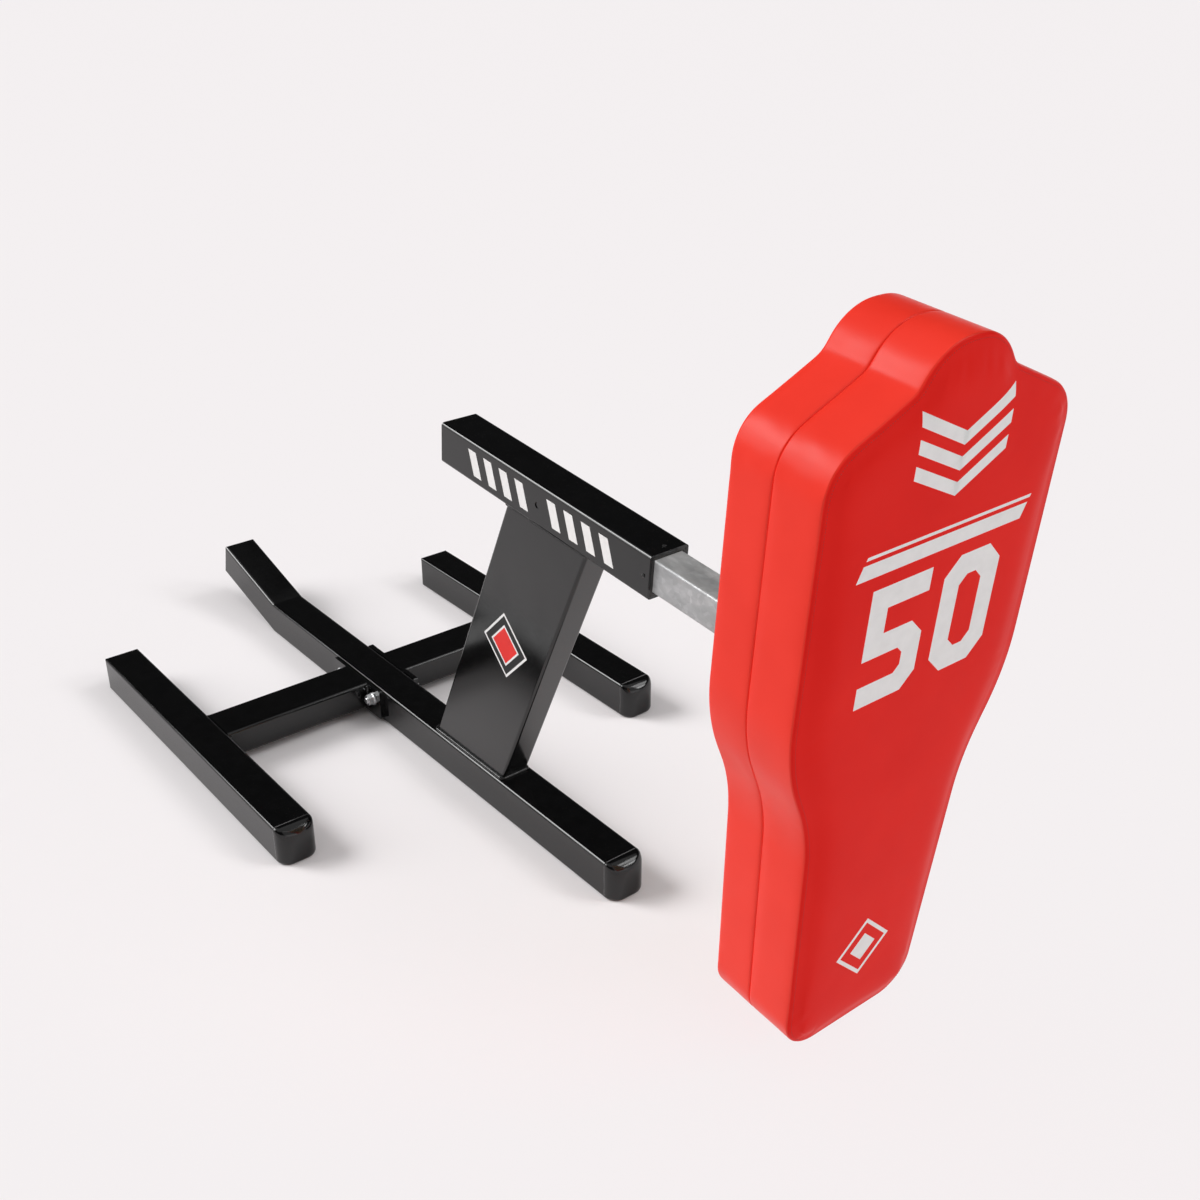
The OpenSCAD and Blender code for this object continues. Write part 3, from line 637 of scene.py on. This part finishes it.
def cut_fine(mesh, spacing, axes):
    """Cuts a flat mesh along a grid, so that it can follow a curved surface."""
    for axis in axes:
        normal = [0, 0, 0]
        normal[axis] = 1
        low = min(v.co[axis] for v in mesh.verts)
        high = max(v.co[axis] for v in mesh.verts)
        for place in np.arange(math.ceil(low / spacing) * spacing, high, spacing):
            point = [0, 0, 0]
            point[axis] = place
            everything = mesh.verts[:] + mesh.edges[:] + mesh.faces[:]
            bmesh.ops.bisect_plane(mesh, geom=everything, plane_co=point, plane_no=normal)


def face_finder(surface):
    """A function from (x, z) to the place and normal of the pad's face, in the arm's frame."""
    to_arm = ARM_FRAME.inverted()
    corners = [to_arm @ v.co for v in surface.data.vertices]
    tree = BVHTree.FromPolygons(corners, [p.vertices[:] for p in surface.data.polygons])
    inwards = Vector((0, 1, 0))

    def find(x, z):
        return tree.ray_cast(Vector((x, PAD_FRONT_Y - 0.1, z)), inwards)[:2]
    return find


def print_on_pad(name, shapes, find):
    """Lays polygons of (x, z) on the pad's face."""
    mesh = bmesh.new()
    for shape in shapes:
        mesh.faces.new([mesh.verts.new((x, 0, z)) for x, z in shape])
    bmesh.ops.remove_doubles(mesh, verts=mesh.verts, dist=ALMOST)
    bmesh.ops.triangulate(mesh, faces=mesh.faces)
    cut_fine(mesh, PRINT_GRID, (0, 2))
    for vert in mesh.verts:
        place = find(vert.co.x, vert.co.z)[0]
        vert.co = ARM_FRAME @ Vector((vert.co.x, place.y - PRINT_LIFT, vert.co.z))
    finish_print(name, mesh, "arm", WHITE_PRINT)


def make_stitches(find):
    """A row of stitches on the face, beside the seam that joins it to the side."""
    ring = drawn_in(pad_ring(), STITCH_INSET)
    loop = np.concatenate([ring, ring[:1]])
    count = round(np.linalg.norm(np.diff(loop, axis=0), axis=1).sum() / STITCH_STEP)
    places = resampled(loop, count)
    mesh = bmesh.new()
    for start, end in zip(places, places[1:]):
        middle = (start + end) / 2
        hit, normal = find(*middle)
        along = Vector((end[0] - start[0], 0, end[1] - start[1])).normalized()
        across = along.cross(normal).normalized()
        tips = [mesh.verts.new(ARM_FRAME @ (hit + along * s * STITCH_LEN / 2)) for s in (-1, 1)]
        sides = [mesh.verts.new(ARM_FRAME @ (hit + normal * h + across * w))
                 for h, w in ((STITCH_R, 0), (0, STITCH_R), (-STITCH_R, 0), (0, -STITCH_R))]
        for k in range(4):
            mesh.faces.new((tips[0], sides[k], sides[(k + 1) % 4]))
            mesh.faces.new((tips[1], sides[(k + 1) % 4], sides[k]))
    finish_print("pad_stitches", mesh, "arm", THREAD)


def print_on_side(name, shapes, x, frame_matrix, body, material):
    """Lays polygons of (y, z) in a plane x of the given frame."""
    mesh = bmesh.new()
    for shape in shapes:
        mesh.faces.new([mesh.verts.new(frame_matrix @ Vector((x, y, z))) for y, z in shape])
    bmesh.ops.remove_doubles(mesh, verts=mesh.verts, dist=ALMOST)
    finish_print(name, mesh, body, material)


# Weld beads, caps, spring and bolts

def rounded_path(half_x, half_y, radius, steps=6):
    """Corners of a closed rounded rectangle round the origin, as (x, y)."""
    points = []
    for quarter, (sx, sy) in enumerate(((1, 1), (-1, 1), (-1, -1), (1, -1))):
        for step in range(steps + 1):
            angle = math.pi / 2 * (quarter + step / steps)
            points.append(Vector((sx * (half_x - radius) + radius * math.cos(angle),
                                  sy * (half_y - radius) + radius * math.sin(angle))))
    return points


def evenly(points, spacing, closed):
    """Points at equal distances along a line of Vectors."""
    line = points + points[:1] if closed else points
    lengths = [(b - a).length for a, b in zip(line, line[1:])]
    along = np.concatenate([[0], np.cumsum(lengths)])
    count = max(2, round(along[-1] / spacing))
    wanted = np.linspace(0, along[-1], count + 1)
    if closed:
        wanted = wanted[:-1]
    columns = [np.interp(wanted, along, [p[k] for p in line]) for k in range(3)]
    return [Vector(p) for p in zip(*columns)], wanted


def add_bead(mesh, points, closed):
    """A weld bead along a line: a round section that swells at each ripple."""
    line, along = evenly(points, BEAD_STEP, closed)
    rings = []
    for i, (centre, place) in enumerate(zip(line, along)):
        before = line[i - 1] if closed or i else line[0]
        after = line[(i + 1) % len(line)] if closed or i + 1 < len(line) else line[-1]
        forward = (after - before).normalized()
        side = forward.orthogonal() if abs(forward.z) > 0.9 else forward.cross(Vector((0, 0, 1)))
        side.normalize()
        up = side.cross(forward)
        ripple = abs(math.sin(math.pi * place / BEAD_PITCH)) ** 0.6
        wander = 1 + 0.05 * math.sin(place * 70) + 0.04 * math.sin(place * 173 + 1)
        r = BEAD_R * (BEAD_THIN + BEAD_RIPPLE * ripple) * wander
        if not closed and i in (0, len(line) - 1):
            r *= BEAD_TIP
        rings.append([mesh.verts.new(centre + side * r * math.cos(a) + up * r * math.sin(a))
                      for a in np.linspace(0, 2 * math.pi, BEAD_SIDES, endpoint=False)])
    join_rings(mesh, rings, closed)
    if not closed:
        mesh.faces.new(rings[0])
        mesh.faces.new(rings[-1])


def cap_section(inset, top_in, foot, top_r, foot_r, steps=8):
    """A closed section of a cap as (x, z): square, with rounder corners at the top."""
    right, top = TUBE / 2 - inset, TUBE - top_in
    top_r = min(top_r, (1 - CAP_FLAT_LEAST) * right)
    points = []
    for x_side, z_side, radius, start in ((1, 1, top_r, 0), (-1, 1, top_r, 1),
                                          (-1, 0, foot_r, 2), (1, 0, foot_r, 3)):
        x = x_side * (right - radius)
        z = top - radius if z_side else foot + radius
        for step in range(steps + 1):
            angle = math.pi / 2 * (start + step / steps)
            points.append((x + radius * math.cos(angle), z + radius * math.sin(angle)))
    return points


def rolled(depth, radius):
    """How far a rounded edge has drawn in at a depth below the end."""
    if depth >= radius:
        return 0.0
    return radius - math.sqrt(radius ** 2 - (radius - depth) ** 2)


def make_trailing_caps():
    """Domed caps on the skids' trailing ends, through rings from the tube to the tip."""
    for side in ("centre", "left", "right"):
        node = side + "_tail_cap"
        low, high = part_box(node)
        middle = (low.x + high.x) / 2
        length = high.y - low.y
        turns = np.linspace(0, math.pi / 2, CAP_RINGS)
        depths = [length] + [CAP_DOME_R * (1 - math.sin(turn)) for turn in turns]
        mesh = bmesh.new()
        rings = []
        for depth in depths:
            near = max(0.0, 1 - depth / CAP_DOME_R) ** CAP_EASE
            top_r = TUBE_CORNER_R + (END_TOP_R - TUBE_CORNER_R) * near
            foot_r = TUBE_CORNER_R + (END_FOOT_R - TUBE_CORNER_R) * near
            section = cap_section(rolled(depth, CAP_PLAN_R), rolled(depth, CAP_TOP_R),
                                  rolled(depth, CAP_FOOT_R), top_r, foot_r)
            rings.append([mesh.verts.new((middle + x, low.y + depth, z)) for x, z in section])
        join_rings(mesh, rings)
        joint = mesh.faces.new(rings[0][::-1])
        mesh.faces.new(rings[-1])
        for face in mesh.faces:
            face.smooth = face != joint
        finish_steel(side + "_domed_cap", mesh, "frame", "black_steel", node)


def coil_y(turn):
    """Height of the wire's axis after that many turns; the first and last turns are closed."""
    opened = (SPRING_TO - SPRING_FROM - WIRE_D - 2 * CLOSED_PITCH) / (SPRING_TURNS - 2)
    first = min(turn, 1.0)
    last = max(turn - SPRING_TURNS + 1, 0.0)
    return CLOSED_PITCH * (first + last) + opened * (turn - first - last)


def make_spring(steps=32, sides=14):
    """The coil spring in round wire, built at one length only; on the sled it shortens towards the
    guide's disc as the arm comes in.
    """
    mesh = bmesh.new()
    rings = []
    for i in range(SPRING_TURNS * steps + 1):
        turn = i / steps
        around = 2 * math.pi * turn
        ring = []
        for j in range(sides):
            angle = 2 * math.pi * j / sides
            reach = (SPRING_D - WIRE_D) / 2 + WIRE_D / 2 * math.cos(angle)
            along = SPRING_FROM + WIRE_D / 2 + coil_y(turn) + WIRE_D / 2 * math.sin(angle)
            point = Vector((reach * math.cos(around), along, reach * math.sin(around)))
            ring.append(mesh.verts.new(ARM_FRAME @ point))
        rings.append(ring)
    join_rings(mesh, rings)
    mesh.faces.new(rings[0][::-1])
    mesh.faces.new(rings[-1])
    coil = finish_steel("coil_spring", mesh, "frame", "spring_steel", "spring")
    coil.data.shade_smooth()
    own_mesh(coil)


def make_post_beads():
    """Beads round the post's foot on the centre skid, and round its head under the receiver."""
    for name, lean, frame_matrix, y, z in (
            ("foot", POST_LEAN, Matrix(), -POST_BACK, TUBE + BEAD_LIFT),
            ("head", POST_LEAN - PITCH, ARM_FRAME, HEAD_Y, -TUBE / 2 - BEAD_LIFT)):
        half_y = POST_DEPTH / math.cos(lean) / 2
        path = rounded_path(POST_W / 2 + BEAD_OUT, half_y + BEAD_OUT, BEAD_CORNER_R)
        bead = bmesh.new()
        add_bead(bead, [frame_matrix @ Vector((p.x, p.y + y, z)) for p in path], True)
        done = finish_steel(name + "_bead", bead, "frame", "black_steel", name + "_weld")
        done.data.shade_smooth()


def make_cross_beads():
    """Open beads down the sides and along the underside of both cross tubes, at each end."""
    beads = bmesh.new()
    low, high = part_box("left_cross_tube")
    half_y = (high.y - low.y) / 2 + BEAD_OUT
    for side in (-1, 1):
        for x, away in ((abs(high.x), 1), (abs(low.x), -1)):
            at = side * (x + away * BEAD_LIFT)
            path = [(-half_y, high.z - BEAD_R), (-half_y, low.z + BEAD_TURN_UP),
                    (-half_y + BEAD_TURN_IN, low.z - BEAD_OUT)]
            path += [(-y, z) for y, z in reversed(path)]
            add_bead(beads, [Vector((at, y, z)) for y, z in path], False)
    finish_steel("cross_tube_beads", beads, "frame", "black_steel",
                 "cross_tube_welds").data.shade_smooth()


def add_hex(mesh, base, axis, flats, height, bore=0.0):
    """A hexagon head or nut with the rounded chamfer that a lathe leaves on its corners."""
    axis = Vector(axis)
    side = axis.orthogonal().normalized()
    up = axis.cross(side)
    washer_r = flats / 2 * WASHER_FACE
    inner = bore if bore else washer_r * 0.3
    rings = [[], [], [], []]
    for i in range(HEX_POINTS):
        angle = 2 * math.pi * i / HEX_POINTS
        reach = flats / 2 / math.cos((angle + math.pi / 6) % (math.pi / 3) - math.pi / 6)
        ray = side * math.cos(angle) + up * math.sin(angle)
        drop = (reach - washer_r) * math.tan(math.radians(30))
        for ring, (r, h) in zip(rings, ((reach, 0), (reach, height - drop), (washer_r, height),
                                        (inner, height))):
            ring.append(mesh.verts.new(Vector(base) + ray * r + axis * h))
    join_rings(mesh, rings)
    mesh.faces.new(rings[0])
    if not bore:
        mesh.faces.new(rings[-1])


def add_threaded_end(mesh, base, axis, radius, length, pitch):
    """The end of a bolt: turned grooves and a chamfered tip."""
    axis = Vector(axis)
    side = axis.orthogonal().normalized()
    up = axis.cross(side)
    stations = [(0, radius)]
    count = int((length - pitch) / pitch)
    for i in range(count):
        stations += [((i + 0.5) * pitch, radius * THREAD_ROOT), ((i + 1) * pitch, radius)]
    stations += [(length - pitch * 0.7, radius), (length, radius * THREAD_TIP)]
    turns = np.linspace(0, 2 * math.pi, THREAD_POINTS, endpoint=False)
    rings = [[mesh.verts.new(Vector(base) + (side * math.cos(a) + up * math.sin(a)) * r + axis * h)
              for a in turns] for h, r in stations]
    join_rings(mesh, rings)
    mesh.faces.new(rings[0])
    mesh.faces.new(rings[-1])


def make_bolts():
    """The two long flange bolts with their nuts, and the four bolts through the pad's plate."""
    flange = bmesh.new()
    nuts = bmesh.new()
    face = FLANGE_FACE + WASHER_T
    flats = HEX_FLATS * BOLT_D
    for y in (-BOLT_Y, BOLT_Y):
        add_hex(flange, (face, y, BOLT_Z), (1, 0, 0), flats, HEAD_H)
        add_threaded_end(flange, (FLANGE_FACE, y, BOLT_Z), (-1, 0, 0), BOLT_D / 2,
                         2 * FLANGE_FACE + WASHER_T + NUT_H + BOLT_END, FLANGE_THREAD)
        add_hex(nuts, (-face, y, BOLT_Z), (-1, 0, 0), flats, NUT_H, BOLT_D / 2 + NUT_CLEAR)
    finish_steel("flange_bolts_turned", flange, "frame", "bright_hardware", "flange_bolts")
    finish_steel("flange_nuts_turned", nuts, "frame", "bright_hardware", "flange_nuts")
    pad = bmesh.new()
    outward = ARM_FRAME.to_3x3() @ Vector((0, 1, 0))
    for x in (-PAD_BOLT_X, PAD_BOLT_X):
        for z in (-PAD_BOLT_Z, PAD_BOLT_Z):
            head = ARM_FRAME @ Vector((x, -ARM_REACH + PLATE_T + PAD_WASHER_T, z))
            add_hex(pad, head, outward, HEX_FLATS * PAD_BOLT_D, PAD_HEAD_H * PAD_BOLT_D)
            add_threaded_end(pad, head, -outward, PAD_BOLT_D / 2,
                             PAD_WASHER_T + PLATE_T + BOARD_T, PAD_THREAD)
    finish_steel("pad_bolts_turned", pad, "arm", "bright_hardware", "pad_bolts")


# Plain marks in place of lettering, in metres from the arm's axis or from the frame's origin

FIGURE_FOOT = 0.098
FIGURE_W = 0.142
FIGURE_H = 0.227
FIGURE_STROKE = 0.043
FIVE_X = -0.160
NOUGHT_X = 0.018
CHEVRON_TOP = 0.560
CHEVRON_STEP = 0.044
CHEVRON_SIZE = (0.110, 0.055, 0.024)
STRIPES = [(-0.206, 0.352, 0.400, 0.028, 0.012), (-0.190, 0.388, 0.400, 0.006, 0.003)]
BADGE = (-0.008, -0.513)
BADGE_RADII = (0.072, 0.061, 0.034)
BAR_STARTS = (0.110, 0.408)
BAR_STEP = 0.060
BAR_SIZE = (0.030, 0.060, 0.024)
POST_BADGE = (-0.720, 0.503)
POST_BADGE_LAYERS = ((0.088, WHITE_PRINT), (0.080, BLACK_PRINT), (0.056, WHITE_PRINT),
                     (0.049, RED_PRINT))


def five(x, z, w, h, s):
    """A block figure 5 with its corners cut."""
    cut, inner, bowl = 0.7 * s, 0.3 * s, 0.6 * h
    shape = [(0, 0), (w - cut, 0), (w, cut), (w, bowl - cut), (w - cut, bowl), (s, bowl),
             (s, h - s), (w, h - s), (w, h), (0, h), (0, bowl - s), (w - s - inner, bowl - s),
             (w - s, bowl - s - inner), (w - s, s + inner), (w - s - inner, s), (0, s)]
    return [[(x + a, z + b) for a, b in shape]]


def nought(x, z, w, h, s):
    """A block figure 0 with its corners cut, in two halves."""
    cut, inner = 0.8 * s, 0.4 * s
    half = [(w / 2, 0), (w / 2, s), (s + inner, s), (s, s + inner), (s, h - s - inner),
            (s + inner, h - s), (w / 2, h - s), (w / 2, h), (cut, h), (0, h - cut), (0, cut),
            (cut, 0)]
    return [[(x + a, z + b) for a, b in half], [(x + w - a, z + b) for a, b in half]]


def chevron(z, half_width, rise, thick):
    """A V whose inner point is at height z."""
    return [(-half_width, z + rise), (-half_width, z + rise - thick), (0, z - thick),
            (half_width, z + rise - thick), (half_width, z + rise), (0, z)]


def slanted_bar(x, z, w, h, slant):
    """A bar of width w and height h that leans by slant over its height."""
    return [(x, z), (x + w, z), (x + w + slant, z + h), (x + slant, z + h)]


def diamond(x, z, r):
    return [(x + r, z), (x, z + r), (x - r, z), (x, z - r)]


def diamond_ring(x, z, outer, inner):
    big, small = diamond(x, z, outer), diamond(x, z, inner)
    return [[big[k], big[(k + 1) % 4], small[(k + 1) % 4], small[k]] for k in range(4)]


def make_prints(find):
    """The generic number, chevrons, stripes and diamonds, on the pad, the receiver and the post."""
    figure = (FIGURE_FOOT, FIGURE_W, FIGURE_H, FIGURE_STROKE)
    outer, inner, core = BADGE_RADII
    print_on_pad("pad_number", five(FIVE_X, *figure) + nought(NOUGHT_X, *figure), find)
    print_on_pad("pad_chevrons", [chevron(CHEVRON_TOP - CHEVRON_STEP * k, *CHEVRON_SIZE)
                                  for k in range(3)], find)
    print_on_pad("pad_stripes", [slanted_bar(*stripe) for stripe in STRIPES], find)
    print_on_pad("pad_badge", diamond_ring(*BADGE, outer, inner) + [diamond(*BADGE, core)], find)
    w, h, slant = BAR_SIZE
    bars = [slanted_bar(y + BAR_STEP * k, -h / 2, w, h, slant)
            for y in BAR_STARTS for k in range(4)]
    for side, name in ((-1, "left"), (1, "right")):
        print_on_side("receiver_bars_" + name, bars, side * (TUBE / 2 + PRINT_LIFT), ARM_FRAME,
                      "frame", WHITE_PRINT)
        for layer, (r, material) in enumerate(POST_BADGE_LAYERS):
            lift = PRINT_LIFT * (layer + 1) / 2
            print_on_side("post_badge_%s_%d" % (name, layer), [diamond(*POST_BADGE, r)],
                          side * (POST_W / 2 + lift), Matrix(), "frame", material)


find_on_face = face_finder(make_cover())
make_stitches(find_on_face)
make_prints(find_on_face)
make_trailing_caps()
make_spring()
make_post_beads()
make_cross_beads()
make_bolts()


# Camera, floor and light

BACKGROUND = (0.905, 0.871, 0.879)
LOW_PIECE_TOP = 0.3
CAMERA_AT = (-1.7343, -3.2150, 2.19125)
CAMERA_TILT = 62.5
CAMERA_TURN = -38.5
SENSOR = 36.0
LENS = 43.44
FLOOR_HALF = 60.0
GLOW_CENTRE = (0, -0.2, 0)
GLOW_FROM = 1.12
GLOW_TO = 1.5
GLOW_SHARE = 0.85

# Lamps: name, direction from the sled, angle across in degrees, strength
LAMPS = [
    ("key_light", (-0.65, 0.55, 0.52), 40, 1.8),
    ("key_core", (-0.47, 0.62, 0.63), 22, 0.95),
    ("top_light", (-0.10, -0.08, 0.99), 85, 0.80),
    ("right_light", (0.55, -0.66, 0.51), 14, 0.35),
    ("cap_light", (0.55, -0.38, 0.74), 22, 0.50),
    ("front_light", (0.10, -0.88, 0.46), 60, 0.42),
]


def make_camera():
    camera = bpy.data.objects.new("camera", bpy.data.cameras.new("camera"))
    bpy.context.scene.collection.objects.link(camera)
    camera.location = CAMERA_AT
    camera.rotation_euler = (math.radians(CAMERA_TILT), 0, math.radians(CAMERA_TURN))
    camera.data.sensor_width = SENSOR
    camera.data.lens = LENS
    bpy.context.scene.camera = camera


def shadow_casters():
    """The low pieces, which cast all of the shadow that the studio lets fall on the floor."""
    casters = bpy.data.collections.new("shadow_casters")
    for obj in bpy.data.objects:
        if obj.type == "MESH" and max(corner[2] for corner in obj.bound_box) < LOW_PIECE_TOP:
            casters.objects.link(obj)
    return casters


def make_sun(name, direction, angle, strength, casters):
    """A soft distant lamp whose shadows only the casters cast."""
    lamp = bpy.data.lights.new(name, "SUN")
    lamp.angle = math.radians(angle)
    lamp.energy = strength
    obj = bpy.data.objects.new(name, lamp)
    obj.rotation_euler = Vector(direction).to_track_quat("Z", "Y").to_euler()
    obj.light_linking.blocker_collection = casters
    bpy.context.scene.collection.objects.link(obj)


def shown_rays(tree):
    """1 for the rays that show the background: from the camera, or off or through a surface."""
    rays = add_node(tree, "ShaderNodeLightPath")
    shown = rays.outputs["Is Camera Ray"]
    for kind in ("Is Glossy Ray", "Is Transmission Ray"):
        either = add_node(tree, "ShaderNodeMath", operation="MAXIMUM")
        tree.links.new(shown, either.inputs[0])
        tree.links.new(rays.outputs[kind], either.inputs[1])
        shown = either.outputs[0]
    return shown


def make_floor():
    """A pale floor that takes shadow near the sled and fades to the plain background round it."""
    mesh = bpy.data.meshes.new("floor")
    corners = [(FLOOR_HALF * x, FLOOR_HALF * y, 0) for x, y in ((-1, -1), (1, -1), (1, 1), (-1, 1))]
    mesh.from_pydata(corners, [], [(0, 1, 2, 3)])
    floor = bpy.data.objects.new("floor", mesh)
    bpy.context.scene.collection.objects.link(floor)
    material, tree, shader = new_material("floor")
    shader.inputs["Base Color"].default_value = (*BACKGROUND, 1)
    shader.inputs["Roughness"].default_value = 0.8
    shader.inputs["Specular IOR Level"].default_value = 0.1
    glow = add_node(tree, "ShaderNodeEmission", Strength=1.0)
    glow.inputs["Color"].default_value = (*BACKGROUND, 1)
    away = add_node(tree, "ShaderNodeVectorMath", operation="DISTANCE")
    away.inputs[1].default_value = GLOW_CENTRE
    tree.links.new(position(tree), away.inputs[0])
    reach = add_node(tree, "ShaderNodeMapRange", **{"From Min": GLOW_FROM, "From Max": GLOW_TO,
                                                    "To Min": 0.0, "To Max": GLOW_SHARE})
    tree.links.new(away.outputs["Value"], reach.inputs["Value"])
    share = add_node(tree, "ShaderNodeMath", operation="MULTIPLY")
    tree.links.new(shown_rays(tree), share.inputs[0])
    tree.links.new(reach.outputs["Result"], share.inputs[1])
    mixed = add_node(tree, "ShaderNodeMixShader")
    tree.links.new(share.outputs[0], mixed.inputs[0])
    tree.links.new(shader.outputs[0], mixed.inputs[1])
    tree.links.new(glow.outputs[0], mixed.inputs[2])
    tree.links.new(mixed.outputs[0], tree.nodes["Material Output"].inputs["Surface"])
    mesh.materials.append(material)


def make_world():
    """Dim all round for the light, with the plain background along the horizon where it shows."""
    world = bpy.data.worlds.new("world")
    world.use_nodes = True
    tree = world.node_tree
    background = tree.nodes["Background"]
    direction = add_node(tree, "ShaderNodeTexCoord").outputs["Generated"]
    parts = add_node(tree, "ShaderNodeSeparateXYZ")
    tree.links.new(direction, parts.inputs[0])
    dim = ramp(tree, parts.outputs["Z"], [(0.0, 0.04), (0.30, 0.03), (1.0, 0.025)])
    horizon = ramp(tree, parts.outputs["Z"], [(0.0, BACKGROUND), (0.12, BACKGROUND), (0.20, 0.03)])
    mix = add_node(tree, "ShaderNodeMix", data_type="RGBA")
    tree.links.new(shown_rays(tree), mix.inputs["Factor"])
    tree.links.new(dim, mix.inputs[6])
    tree.links.new(horizon, mix.inputs[7])
    tree.links.new(mix.outputs[2], background.inputs["Color"])
    background.inputs["Strength"].default_value = 1.0
    bpy.context.scene.world = world


make_camera()
make_floor()
low_pieces = shadow_casters()
make_world()
for lamp_name, toward, across, power in LAMPS:
    make_sun(lamp_name, toward, across, power, low_pieces)
bpy.context.scene.view_settings.view_transform = "Standard"
